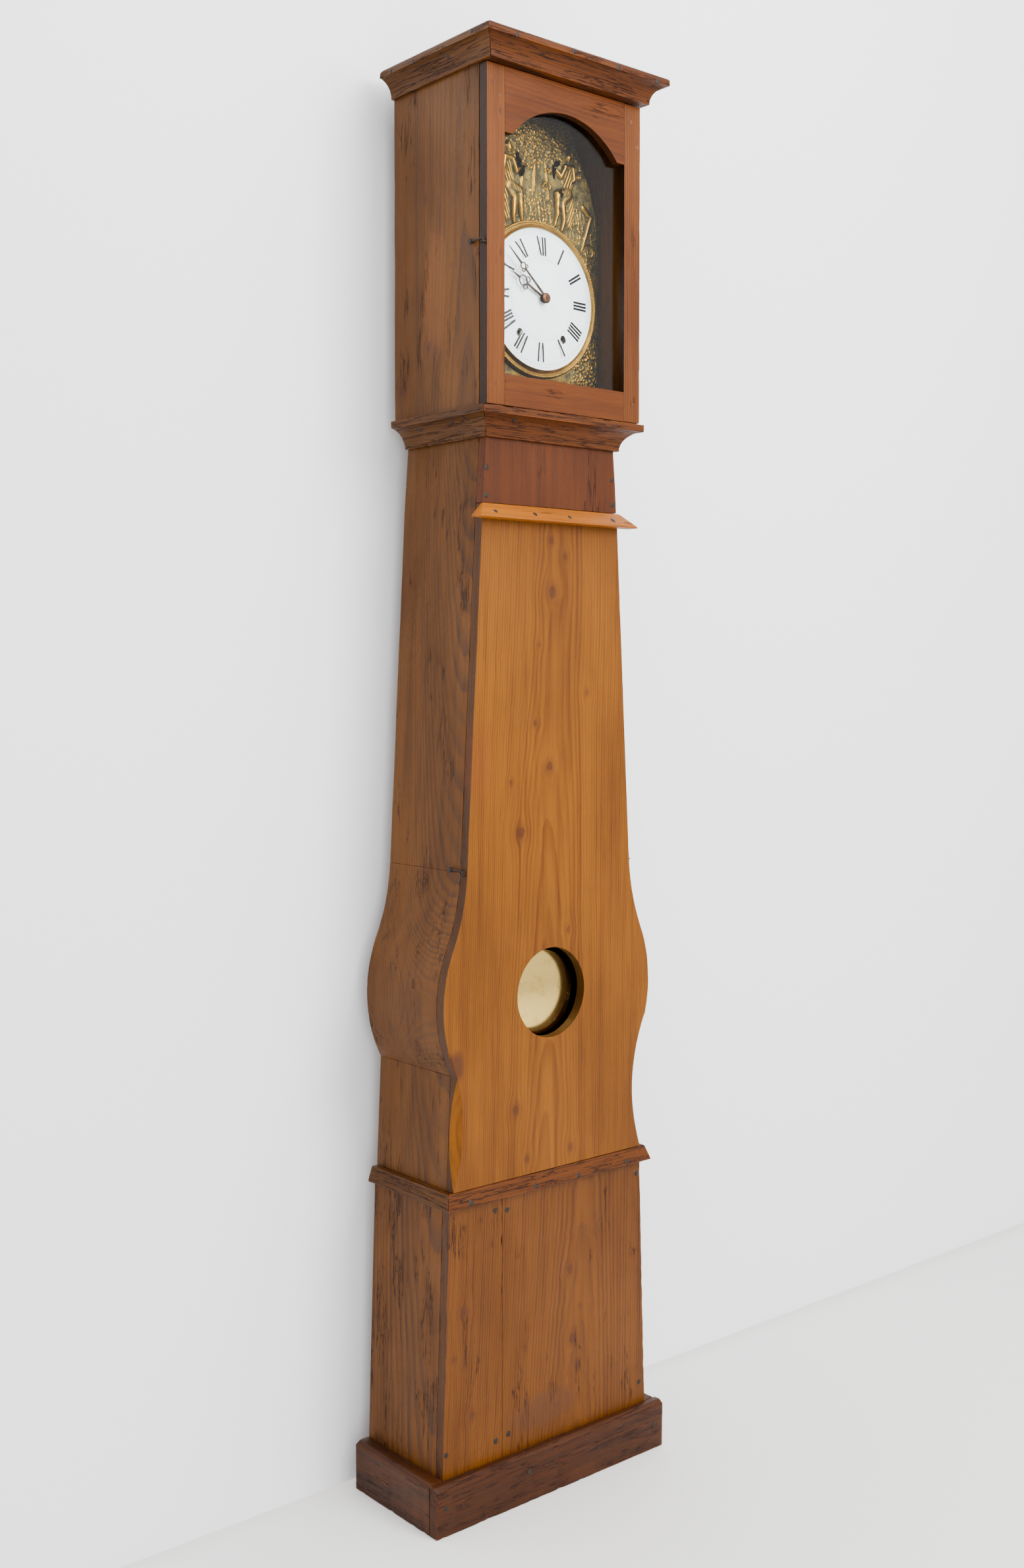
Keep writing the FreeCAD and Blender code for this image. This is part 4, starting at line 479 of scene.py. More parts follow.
def metalMaterial(name, look):
    made, tree, shader = newMaterial(name)
    at = addNode(tree, "TexCoord").outputs["Object"]
    broad = cloud(tree, at, look["broad"], 5.0, 0.6)
    fine = cloud(tree, at, look["fine"], 4.0, 0.65)
    dull = stretch(
        tree, maths(tree, "ADD", maths(tree, "MULTIPLY", broad, 0.6), maths(tree, "MULTIPLY", fine, 0.4)),
        look["from"], look["to"])
    wear = useGroup(tree, wearGroup, {"Vector": at, "Width": look["wearWidth"] * mm, "Amount": 1.0})["Mask"]
    dull = maths(
        tree, "MULTIPLY", dull, maths(tree, "SUBTRACT", 1.0, maths(tree, "MULTIPLY", wear, look["rubbed"])))
    tree.links.new(
        blendColour(tree, dull, colour(*look["clean"]), colour(*look["dull"])), shader.inputs["Base Color"])
    tree.links.new(stretch(tree, dull, 0.0, 1.0, look["smooth"], look["rough"]), shader.inputs["Roughness"])
    tree.links.new(stretch(tree, dull, 0.0, 1.0, 1.0, look["dullMetal"]), shader.inputs["Metallic"])
    bump = addNode(
        tree, "Bump",
        {"Height": maths(tree, "ADD", fine, broad), "Strength": look["bump"], "Distance": 0.0004})
    tree.links.new(bump.outputs[0], shader.inputs["Normal"])
    return made


metalLooks = {
    "bezelBrass": {
        "broad": 22, "fine": 300, "from": 0.4, "to": 0.7, "clean": (150, 110, 36), "dull": (78, 56, 17),
        "smooth": 0.3, "rough": 0.5, "dullMetal": 0.85, "bump": 0.15, "wearWidth": 1.0, "rubbed": 0.6},
    "bobBrass": {
        "broad": 26, "fine": 130, "from": 0.5, "to": 0.8, "clean": (206, 176, 102), "dull": (136, 100, 44),
        "smooth": 0.17, "rough": 0.42, "dullMetal": 0.9, "bump": 0.12, "wearWidth": 1.0, "rubbed": 0.4},
    "wheelBrass": {
        "broad": 40, "fine": 300, "from": 0.4, "to": 0.7, "clean": (200, 158, 76), "dull": (120, 92, 48),
        "smooth": 0.3, "rough": 0.55, "dullMetal": 0.8, "bump": 0.1, "wearWidth": 0.8, "rubbed": 0.5},
    "bellMetal": {
        "broad": 20, "fine": 200, "from": 0.4, "to": 0.7, "clean": (190, 160, 104), "dull": (112, 96, 62),
        "smooth": 0.3, "rough": 0.5, "dullMetal": 0.85, "bump": 0.1, "wearWidth": 1.0, "rubbed": 0.5},
    "forgedIron": {
        "broad": 60, "fine": 420, "from": 0.36, "to": 0.62, "clean": (50, 43, 38), "dull": (32, 22, 17),
        "smooth": 0.42, "rough": 0.75, "dullMetal": 0.4, "bump": 0.5, "wearWidth": 0.8, "rubbed": 0.7},
    "castIron": {
        "broad": 30, "fine": 260, "from": 0.36, "to": 0.6, "clean": (48, 45, 43), "dull": (31, 26, 23),
        "smooth": 0.5, "rough": 0.8, "dullMetal": 0.5, "bump": 0.8, "wearWidth": 1.5, "rubbed": 0.6},
    "bronzedHand": {
        "broad": 60, "fine": 500, "from": 0.35, "to": 0.65, "clean": (58, 42, 34), "dull": (30, 22, 20),
        "smooth": 0.35, "rough": 0.6, "dullMetal": 0.4, "bump": 0.2, "wearWidth": 0.5, "rubbed": 0.6},
    "copperHub": {
        "broad": 90, "fine": 600, "from": 0.35, "to": 0.65, "clean": (96, 58, 36), "dull": (48, 30, 20),
        "smooth": 0.35, "rough": 0.6, "dullMetal": 0.7, "bump": 0.3, "wearWidth": 0.8, "rubbed": 0.6},
}
metals = {name: metalMaterial(name, look) for name, look in metalLooks.items()}


def enamelMaterial():
    made, tree, shader = newMaterial("whiteEnamel")
    at = addNode(tree, "TexCoord").outputs["Object"]
    tone = stretch(tree, cloud(tree, at, 14, 3.0), 0.35, 0.7)
    specks = stretch(tree, cloud(tree, at, 900, 2.0), 0.7, 0.78)
    tint = blendColour(tree, tone, colour(236, 238, 243), colour(226, 230, 238))
    tree.links.new(
        blendColour(tree, maths(tree, "MULTIPLY", specks, 0.25), tint, colour(150, 146, 140)),
        shader.inputs["Base Color"])
    tree.links.new(stretch(tree, tone, 0.0, 1.0, 0.14, 0.24), shader.inputs["Roughness"])
    bump = addNode(tree, "Bump", {"Height": cloud(tree, at, 60, 2.0), "Strength": 0.08, "Distance": 0.0006})
    tree.links.new(bump.outputs[0], shader.inputs["Normal"])
    shader.inputs["Coat Weight"].default_value = 0.6
    shader.inputs["Coat Roughness"].default_value = 0.05
    return made


def inkMaterial(name, dark, pale, scale):
    made, tree, shader = newMaterial(name)
    at = addNode(tree, "TexCoord").outputs["Object"]
    worn = stretch(tree, cloud(tree, at, scale, 4.0, 0.7), 0.5, 0.8)
    tree.links.new(blendColour(tree, worn, colour(*dark), colour(*pale)), shader.inputs["Base Color"])
    tree.links.new(stretch(tree, worn, 0.0, 1.0, 0.22, 0.4), shader.inputs["Roughness"])
    return made


def glassMaterial():
    # an old pane: clear, with a mirror share that rises towards grazing angles
    made, tree, shader = newMaterial("oldGlass")
    at = addNode(tree, "TexCoord").outputs["Object"]
    shader.inputs["Base Color"].default_value = (0.94, 0.97, 0.96, 1)
    shader.inputs["Transmission Weight"].default_value = 1.0
    shader.inputs["IOR"].default_value = 1.22
    dust = cloud(tree, at, 40, 4.0)
    tree.links.new(stretch(tree, dust, 0.4, 0.8, 0.0, 0.008), shader.inputs["Roughness"])
    bump = addNode(
        tree, "Bump",
        {"Height": cloud(tree, scaled(tree, at, 1, 1, 0.4), 9, 1.0), "Strength": 0.05, "Distance": 0.001})
    tree.links.new(bump.outputs[0], shader.inputs["Normal"])
    clear = addNode(tree, "BsdfTransparent", {"Color": (0.96, 0.98, 0.97, 1)}).outputs[0]
    shadow = addNode(tree, "LightPath").outputs["Is Shadow Ray"]
    both = addNode(tree, "MixShader", {0: shadow, 1: shader.outputs[0], 2: clear}).outputs[0]
    tree.links.new(both, tree.nodes["Material Output"].inputs["Surface"])
    return made


def reliefMaterial():
    # pressed brass: crests rubbed bright, hollows olive
    made, tree, shader = newMaterial("pressedBrass")
    at = addNode(tree, "TexCoord").outputs["Object"]
    crest = addNode(tree, "Attribute", attribute_name="crest").outputs["Fac"]
    grime = cloud(tree, at, 55, 5.0, 0.65)
    fine = cloud(tree, at, 420, 3.0, 0.6)
    high = maths(tree, "ADD", crest, maths(tree, "MULTIPLY", maths(tree, "SUBTRACT", grime, 0.5), 0.7))
    high = maths(tree, "ADD", high, maths(tree, "MULTIPLY", maths(tree, "SUBTRACT", fine, 0.5), 0.25))
    bright = stretch(tree, high, 0.42, 0.82)
    green = blendColour(tree, stretch(tree, grime, 0.4, 0.65), colour(42, 34, 10), colour(70, 64, 30))
    tree.links.new(blendColour(tree, bright, green, colour(132, 94, 22)), shader.inputs["Base Color"])
    tree.links.new(stretch(tree, bright, 0.0, 1.0, 0.62, 0.24), shader.inputs["Roughness"])
    tree.links.new(stretch(tree, bright, 0.0, 1.0, 0.7, 1.0), shader.inputs["Metallic"])
    bump = addNode(
        tree, "Bump", {"Height": maths(tree, "ADD", fine, grime), "Strength": 0.35, "Distance": 0.0005})
    tree.links.new(bump.outputs[0], shader.inputs["Normal"])
    return made


enamel, glass, pressedBrass = enamelMaterial(), glassMaterial(), reliefMaterial()
numeralInk = inkMaterial("numeralInk", (8, 8, 12), (26, 25, 30), 500)
fineInk = inkMaterial("fineInk", (96, 96, 102), (170, 170, 174), 350)
print("metals, enamel and glass made")

# finishes for the pieces that keep their CAD mesh

finishOfNode = {
    "hood_door_glass": glass, "enamel_dial": enamel, "pendulum_bob": metals["bobBrass"],
    "minute_hand": metals["bronzedHand"], "hour_hand": metals["bronzedHand"], "bell": metals["bellMetal"],
    "going_barrel": metals["wheelBrass"], "strike_barrel": metals["wheelBrass"],
    "escape_wheel": metals["wheelBrass"], "pendulum_rod": metals["forgedIron"],
    "movement_frame": metals["forgedIron"], "anchor_and_crutch": metals["forgedIron"],
    "strike_hammer": metals["forgedIron"], "hood_hook": metals["forgedIron"],
    "trunk_hook_left": metals["forgedIron"], "trunk_hook_right": metals["forgedIron"],
    "hook_pivot_screws": metals["forgedIron"], "trunk_front_staples": metals["forgedIron"],
    "hood_door_staple": metals["forgedIron"], "hood_hinge_plates": metals["forgedIron"],
    "hood_door_hinge_leaves": metals["forgedIron"], "going_weight": metals["castIron"],
    "strike_weight": metals["castIron"],
}
for nodeName, finish in finishOfNode.items():
    mesh = nodes[nodeName].data
    mesh.materials.clear()
    mesh.materials.append(finish)
    for face in mesh.polygons:
        face.material_index = 0

# boards and mouldings: softened, slightly uneven copies of the CAD boards

board = {"bevel": 1.0, "step": 40, "waver": 0.25, "chips": 0.5}
oldMoulding = {"bevel": 1.1, "step": 7, "waver": 0.35, "chips": 1.0}
woodOfNode = {
    "trunk_front_board": ("pineFront", "z", dict(board, bevel=1.6, step=14)),
    "trunk_front_strip": ("pineStrip", "x", dict(oldMoulding, bevel=1.6, step=9, waver=0.25, chips=0.6)),
    "neck_panel": ("pineNeck", "z", board),
    "hood_door_stile_left": ("pineDoorUp", "z", dict(board, step=16)),
    "hood_door_stile_right": ("pineDoorUp", "z", dict(board, step=16)),
    "hood_door_arched_rail": ("pineDoorAcross", "x", dict(board, bevel=0.5, step=12)),
    "hood_door_bottom_rail": ("pineDoorAcross", "x", dict(board, bevel=0.5, step=12)),
}
softBoard = dict(board, bevel=0.6)
wornPlinth = dict(oldMoulding, bevel=2.2, chips=1.6)
baseFront = dict(board, step=12, chips=1.2)
for part, across, deep, wear in (
        ("cornice", "pineMouldAcross", "pineMouldDeep", oldMoulding),
        ("hood_moulding", "pineMouldAcross", "pineMouldDeep", oldMoulding),
        ("base_moulding", "pineMouldAcross", "pineMouldDeep", oldMoulding),
        ("plinth", "plinthAcross", "plinthDeep", wornPlinth)):
    woodOfNode[part + "_front"] = (across, "x", wear)
    for side in ("left", "right"):
        woodOfNode[part + "_" + side] = (deep, "y", wear)
for part in ("base_front_narrow_board", "base_front_wide_board"):
    woodOfNode[part] = ("pineBase", "z", baseFront)
for part, wood, wear in (
        ("base_side", "pineBaseSide", board), ("hood_side", "pineHoodSide", board),
        ("trunk_side", "pineSide", board), ("belly_side", "pineSide", softBoard),
        ("lower_side", "pineSide", board)):
    for side in ("left", "right"):
        woodOfNode[part + "_" + side] = (wood, "z", wear)
for part, axis in (
        ("case_back_board", "z"), ("hood_back_board", "z"), ("hood_top_board", "x"), ("seat_board", "x")):
    woodOfNode[part] = ("rawWood", axis, board)


def flatCopy(nodeName):
    work = bmesh.new()
    work.from_mesh(nodes[nodeName].data)
    bmesh.ops.remove_doubles(work, verts=work.verts, dist=1e-6)
    bmesh.ops.dissolve_limit(work, angle_limit=math.radians(0.8), verts=work.verts, edges=work.edges)
    return work


def finishMesh(name, work, material, smoothAngle=40):
    mesh = bpy.data.meshes.new(name)
    work.normal_update()
    for edge in work.edges:
        edge.smooth = len(edge.link_faces) == 2 and edge.calc_face_angle(0) < math.radians(smoothAngle)
    for face in work.faces:
        face.smooth = True
        face.material_index = 0
    work.to_mesh(mesh)
    work.free()
    mesh.materials.append(material)
    made = bpy.data.objects.new(name, mesh)
    bpy.context.scene.collection.objects.link(made)
    return made


def wornBoard(nodeName, material, axis, wear, seed):
    work = flatCopy(nodeName)
    low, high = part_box(nodeName)
    sharp = [e for e in work.edges if len(e.link_faces) == 2 and e.calc_face_angle(0) > math.radians(28)]
    bmesh.ops.bevel(
        work, geom=sharp, offset=wear["bevel"] * mm, segments=2, profile=0.6, affect="EDGES",
        clamp_overlap=True)
    bmesh.ops.triangulate(work, faces=[f for f in work.faces if len(f.verts) > 4])
    k = "xyz".index(axis)
    direction = Vector([float(i == k) for i in range(3)])
    count = int((high[k] - low[k]) / (wear["step"] * mm))
    for i in range(1, count):
        at = Vector(low) + direction * ((high[k] - low[k]) * i / count)
        bmesh.ops.bisect_plane(
            work, geom=work.verts[:] + work.edges[:] + work.faces[:], dist=1e-6, plane_co=at,
            plane_no=direction)
    work.normal_update()
    shift = Vector((seed * 3.7, seed * 1.9, seed * 5.3))
    moves = []
    for vertex in work.verts:
        p = vertex.co
        wave = noise.noise(p * 9 + shift) * wear["waver"] + noise.noise(p * 45 + shift) * wear["waver"] * 0.5
        corner = vertex.calc_shell_factor() - 1.0
        bite = max(0.0, noise.noise(p * 130 + shift)) + max(0.0, noise.noise(p * 38 - shift) - 0.15) * 2
        moves.append(
            vertex.normal * (
                (wave - wear["waver"]) * 0.5 - (bite * wear["chips"] if corner > 0.004 else 0.0)) * mm)
    for vertex, move in zip(work.verts, moves):
        p = vertex.co + move
        vertex.co = [min(max(p[i], low[i]), high[i]) for i in range(3)]
    made = finishMesh(nodeName + "_worn", work, material)
    weighted = made.modifiers.new("evenFaces", "WEIGHTED_NORMAL")
    weighted.keep_sharp = True
    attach(made, bodyOf(nodeName))
    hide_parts(nodeName)


for number, (nodeName, (wood, axis, wear)) in enumerate(woodOfNode.items()):
    wornBoard(nodeName, woods[wood], axis, wear, number + 1)
print("boards worn:", len(woodOfNode))

# nails, pegs

# outline of a head: share of its radius, share of its height
headOutline = ((1.12, -0.5), (1.08, 0.05), (0.95, 0.35), (0.7, 0.75), (0.35, 0.95))
nailHead = {"radius": 4.2, "dome": 0.7, "sides": 14}
pegEnd = {"radius": 3.2, "dome": 0.5, "sides": 7}
# places in millimetres: across, depth, height, and the way the face looks
caseNails = [
    (-198, 236, 2343, "left"), (-198, 88, 2340, "left"), (-198, 160, 2330, "left"),
    (-198, 30, 2341, "left"), (-140, 277, 2340, "front"), (78, 277, 2341, "front"),
    (168, 277, 2339, "front"), (-20, 277, 2343, "front"), (198, 60, 2341, "right"),
    (198, 200, 2342, "right"), (-141, 204, 1688, "front"), (-141, 204, 1644, "front"),
    (137, 204, 1688, "front"), (139, 204, 1647, "front"), (-102, 235, 1764, "front"),
    (77, 235, 1766, "front"), (-172, 179, 1765, "left"), (-172, 143, 1763, "left"),
    (-172, 57, 1762, "left"), (172, 90, 1764, "right"), (-179, 213, 521, "front"), (-40, 213, 520, "front"),
    (55, 213, 519, "front"), (170, 213, 521, "front"), (-222, 199, 486, "front"), (-118, 199, 492, "front"),
    (-92, 199, 488, "front"), (206, 199, 490, "front"), (-221, 199, 120, "front"),
    (-117, 199, 112, "front"), (-90, 199, 116, "front"), (214, 199, 118, "front"), (-236, 218, 46, "front"),
    (232, 218, 44, "front"), (-60, 218, 50, "front"), (96, 218, 42, "front"),
]
frontNails = [
    (-136, 229, 1618, "front"), (-52, 229, 1618, "front"), (24, 229, 1618, "front"),
    (124, 229, 1619, "front")]
doorPegs = [
    (-141, 237.5, 2258, "front"), (-150, 237.5, 1815, "front"), (161, 237.5, 2239, "front"),
    (153, 237.5, 1812, "front"), (-157, 237.5, 2276, "front"), (146, 237.5, 2278, "front")]
facing = {"front": Vector((0, -1, 0)), "left": Vector((-1, 0, 0)), "right": Vector((1, 0, 0))}


def surfaceOf(body):
    verts, faces = [], []
    for made in bpy.context.scene.objects:
        if made.type == "MESH" and made.get("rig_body") == body and made.name.endswith("_worn"):
            base = len(verts)
            verts += [v.co.copy() for v in made.data.vertices]
            faces += [[base + i for i in f.vertices] for f in made.data.polygons]
    return BVHTree.FromPolygons(verts, faces)


def studs(name, body, places, shape, material, seed):
    surface = surfaceOf(body)
    chance = random.Random(seed)
    work = bmesh.new()
    for across, depth, height, side in places:
        look = facing[side]
        start = Vector((across * mm, backPlane - depth * mm, height * mm)) + look * 0.03
        point, normal = surface.ray_cast(start, -look)[:2]
        if point is None:
            print("no wood under", name, across, height)
            continue
        if normal.dot(look) < 0:
            normal = -normal
        upright = Vector((0, 0, 1))
        right = upright.cross(normal).normalized()
        up = normal.cross(right)
        radius = shape["radius"] * chance.uniform(0.8, 1.1) * mm
        spin = chance.uniform(0, 6.28)
        rings = []
        for share, lift in headOutline:
            ring = []
            for i in range(shape["sides"]):
                turn = spin + 2 * math.pi * i / shape["sides"]
                reach = radius * share * (1 + 0.07 * math.sin(3 * turn + spin))
                outward = (right * math.cos(turn) + up * math.sin(turn)) * reach
                ring.append(work.verts.new(point + outward + normal * (lift * shape["dome"] * mm)))
            rings.append(ring)
        top = work.verts.new(point + normal * (shape["dome"] * mm))
        for a, b in zip(rings, rings[1:]):
            for i in range(len(a)):
                j = (i + 1) % len(a)
                work.faces.new((a[i], a[j], b[j], b[i]))
        last = rings[-1]
        for i in range(len(last)):
            work.faces.new((last[i], last[(i + 1) % len(last)], top))
    made = finishMesh(name, work, material, 70)
    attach(made, body)
    return made


pegWood = woodMaterial(
    "pegEndGrain",
    dict(plainWood, grain="sideUp", pale=(112, 62, 34), dark=(58, 30, 18), seed=20.0, ring=1.2, wear=0.2))
studs("case_nails", "case", caseNails, nailHead, metals["forgedIron"], 3)
studs("trunk_front_nails", "trunk_front", frontNails, nailHead, metals["forgedIron"], 4)
studs("hood_door_pegs", "hood_door", doorPegs, pegEnd, pegWood, 5)
print("nails and pegs set")

# dial: numerals, minute track and winding-hole collars, laid on the domed enamel

dialLow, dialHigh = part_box("enamel_dial")
dialCentre = (dialLow + dialHigh) / 2
dialRadius = (dialHigh.x - dialLow.x) / 2
dialTree = BVHTree.FromPolygons(
    [v.co.copy() for v in nodes["enamel_dial"].data.vertices],
    [list(f.vertices) for f in nodes["enamel_dial"].data.polygons])
dialMarks = {
    "lift": 0.12, "numeralFoot": 0.606, "numeralHead": 0.872, "thick": 3.6, "thin": 1.0, "ringInner": 0.572,
    "trackInner": 0.905, "trackOuter": 0.94, "line": 0.36, "dotAt": 0.957, "dot": 0.75, "fan": 1.07,
    "footBar": 0.35, "footReach": 0.9, "ringLine": 0.8, "minuteLine": 0.45}


def onDial(across, up):
    # a point on the enamel, from its place across and above the centre in metres
    x, z = dialCentre.x + across, dialCentre.z + up
    point = dialTree.ray_cast(Vector((x, dialLow.y - 0.02, z)), Vector((0, 1, 0)))[0]
    y = point.y if point else dialLow.y + 0.004
    return Vector((x, y - dialMarks["lift"] * mm, z))


def strokeOnDial(work, corners, pieces=8):
    # a four-sided stroke: two points at its foot, two at its head
    a, b, c, d = [Vector(p) for p in corners]
    rows = []
    for i in range(pieces + 1):
        t = i / pieces
        left, right = a.lerp(d, t), b.lerp(c, t)
        rows.append((work.verts.new(onDial(left.x, left.y)), work.verts.new(onDial(right.x, right.y))))
    for (l0, r0), (l1, r1) in zip(rows, rows[1:]):
        work.faces.new((l0, r0, r1, l1))


def numeralStrokes(text):
    # strokes as (foot across, head across, width) in millimetres, in a row centred on nought
    gap, place, strokes = dialMarks["thick"] + 1.5, 0.0, []
    for letter in text:
        if letter == "I":
            strokes.append((place, place, dialMarks["thick"]))
            place += gap
        elif letter == "V":
            strokes += [
                (place + 3.0, place, dialMarks["thick"]), (place + 3.6, place + 7.0, dialMarks["thin"])]
            place += 7.0 + gap * 0.7
        elif letter == "X":
            strokes += [(place + 7.0, place, dialMarks["thick"]), (place, place + 7.0, dialMarks["thin"])]
            place += 7.0 + gap * 0.8
    middle = (min(min(s[0], s[1]) for s in strokes) + max(max(s[0], s[1]) for s in strokes)) / 2
    return [(foot - middle, head - middle, width) for foot, head, width in strokes]


def drawNumerals():
    work = bmesh.new()
    foot, head = dialRadius * dialMarks["numeralFoot"], dialRadius * dialMarks["numeralHead"]
    for hour, text in enumerate(("XII", "I", "II", "III", "IIII", "V", "VI", "VII", "VIII", "IX", "X", "XI")):
        turn = math.radians(30 * hour)
        out, side = Vector((math.sin(turn), math.cos(turn))), Vector((math.cos(turn), -math.sin(turn)))
        for low, high, width in numeralStrokes(text):
            spread = dialMarks["fan"]  # strokes fan out a little towards the rim
            half = width * mm / 2
            lowAt, highAt = out * foot + side * (low * mm), out * head + side * (high * mm * spread)
            strokeOnDial(
                work, (lowAt - side * half, lowAt + side * half, highAt + side * half, highAt - side * half))
            if width < dialMarks["thick"]:
                continue
            for at, way in ((lowAt, 1), (highAt, -1)):  # hairline feet
                bar = dialMarks["footBar"] * mm * way
                reach = half + dialMarks["footReach"] * mm
                left, right = at - side * reach, at + side * reach
                strokeOnDial(work, (left, right, right + out * bar, left + out * bar), 1)
    bmesh.ops.recalc_face_normals(work, faces=work.faces)
    return finishMesh("dial_numerals", work, numeralInk)


def drawTrack():
    work = bmesh.new()

    def ring(share, width, parts=240):
        first, before = None, None
        for i in range(parts):
            turn = 2 * math.pi * i / parts
            way = Vector((math.sin(turn), math.cos(turn)))
            inner, outer = way * (dialRadius * share - width / 2), way * (dialRadius * share + width / 2)
            pair = (work.verts.new(onDial(*inner)), work.verts.new(onDial(*outer)))
            if before:
                work.faces.new((before[0], before[1], pair[1], pair[0]))
            first, before = first or pair, pair
        work.faces.new((before[0], before[1], first[1], first[0]))

    line = dialMarks["line"] * mm
    for share in ("ringInner", "trackInner", "trackOuter"):
        ring(dialMarks[share], line * dialMarks["ringLine"])
    for minute in range(60):
        turn = math.radians(6 * minute)
        out, side = Vector((math.sin(turn), math.cos(turn))), Vector((math.cos(turn), -math.sin(turn)))
        foot, head = out * dialRadius * dialMarks["trackInner"], out * dialRadius * dialMarks["trackOuter"]
        half = side * line * dialMarks["minuteLine"]
        strokeOnDial(work, (foot - half, foot + half, head + half, head - half), 1)
        if minute % 5 == 0:
            dot, size = out * dialRadius * dialMarks["dotAt"], dialMarks["dot"] * mm
            wide, tall = side * size * 0.5, out * size
            strokeOnDial(
                work, (dot - wide - tall, dot + wide - tall, dot + wide + tall, dot - wide + tall), 1)
    bmesh.ops.recalc_face_normals(work, faces=work.faces)
    return finishMesh("dial_minute_track", work, fineInk)


def lathe(work, centre, axis, profile, sides, wobble=0.0):
    # turns (radius, lift) points in millimetres round an axis that leaves the centre
    upright = Vector((0, 0, 1)) if abs(axis.z) < 0.9 else Vector((1, 0, 0))
    right = upright.cross(axis).normalized()
    up = axis.cross(right)
    rings = []
    for radius, lift in profile:
        ring = []
        for i in range(sides):
            turn = 2 * math.pi * i / sides
            reach = radius * mm * (1 + wobble * math.sin(turn * 3 + lift))
            outward = (right * math.cos(turn) + up * math.sin(turn)) * reach
            ring.append(work.verts.new(centre + outward + axis * (lift * mm)))
        rings.append(ring)
    for a, b in zip(rings, rings[1:]):
        for i in range(sides):
            work.faces.new((a[i], a[(i + 1) % sides], b[(i + 1) % sides], b[i]))


# turned outlines in millimetres: radius, then height over the enamel
collarShape = {
    "rim": ((5.4, -5.5), (5.5, 0.7), (6.2, 1.1), (7.2, 1.15), (8.0, 0.8), (8.5, 0.1), (8.6, -0.4)),
    "well": ((4.7, -6.0), (4.7, -1.4), (4.3, -1.0), (2.9, -1.0), (2.6, -1.3), (2.6, -5.0)),
    "rimWobble": 0.015, "wellWobble": 0.02,
}
hubShape = {
    "outline": (
        (8.2, -0.9), (8.6, -0.3), (8.4, 0.5), (7.0, 1.3), (4.4, 1.7), (3.4, 1.75), (3.2, 1.1), (2.2, 1.0),
        (1.9, 1.4), (1.6, 2.6), (0.9, 3.1), (0.05, 3.2)),
    "wobble": 0.012,
}
forward = Vector((0, -1, 0))


def windingCollars():
    work = bmesh.new()
    for side in (-1, 1):
        low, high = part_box("strike_barrel" if side > 0 else "going_barrel")
        centre = Vector(((low.x + high.x) / 2, 0, (low.z + high.z) / 2))
        centre.y = onDial(centre.x - dialCentre.x, centre.z - dialCentre.z).y
        lathe(work, centre, forward, collarShape["rim"], 36, collarShape["rimWobble"])
        lathe(work, centre, forward, collarShape["well"], 24, collarShape["wellWobble"])
    bmesh.ops.recalc_face_normals(work, faces=work.faces)
    return finishMesh("winding_collars", work, metals["forgedIron"], 50)


def handHub():
    work = bmesh.new()
    low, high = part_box("minute_hand")
    centre = Vector((dialCentre.x, low.y, dialCentre.z))
    lathe(work, centre, forward, hubShape["outline"], 40, hubShape["wobble"])
    bmesh.ops.recalc_face_normals(work, faces=work.faces)
    return finishMesh("hand_hub", work, metals["copperHub"], 60)


for piece, body, slotName in (
    (drawNumerals(), "case", "white_enamel"), (drawTrack(), "case", "white_enamel"),
    (windingCollars(), "case", "hook_iron"), (handHub(), "minute_hand", "hand_steel")):
    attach(piece, body)
print("dial drawn")

# bezel: a smooth hollow with a rope edge and a row of beads

bezelShape = {
    "around": 1080, "ropeTwists": 150, "ropeDepth": 0.55, "beads": 260, "beadDepth": 0.35, "sway": 0.18,
}


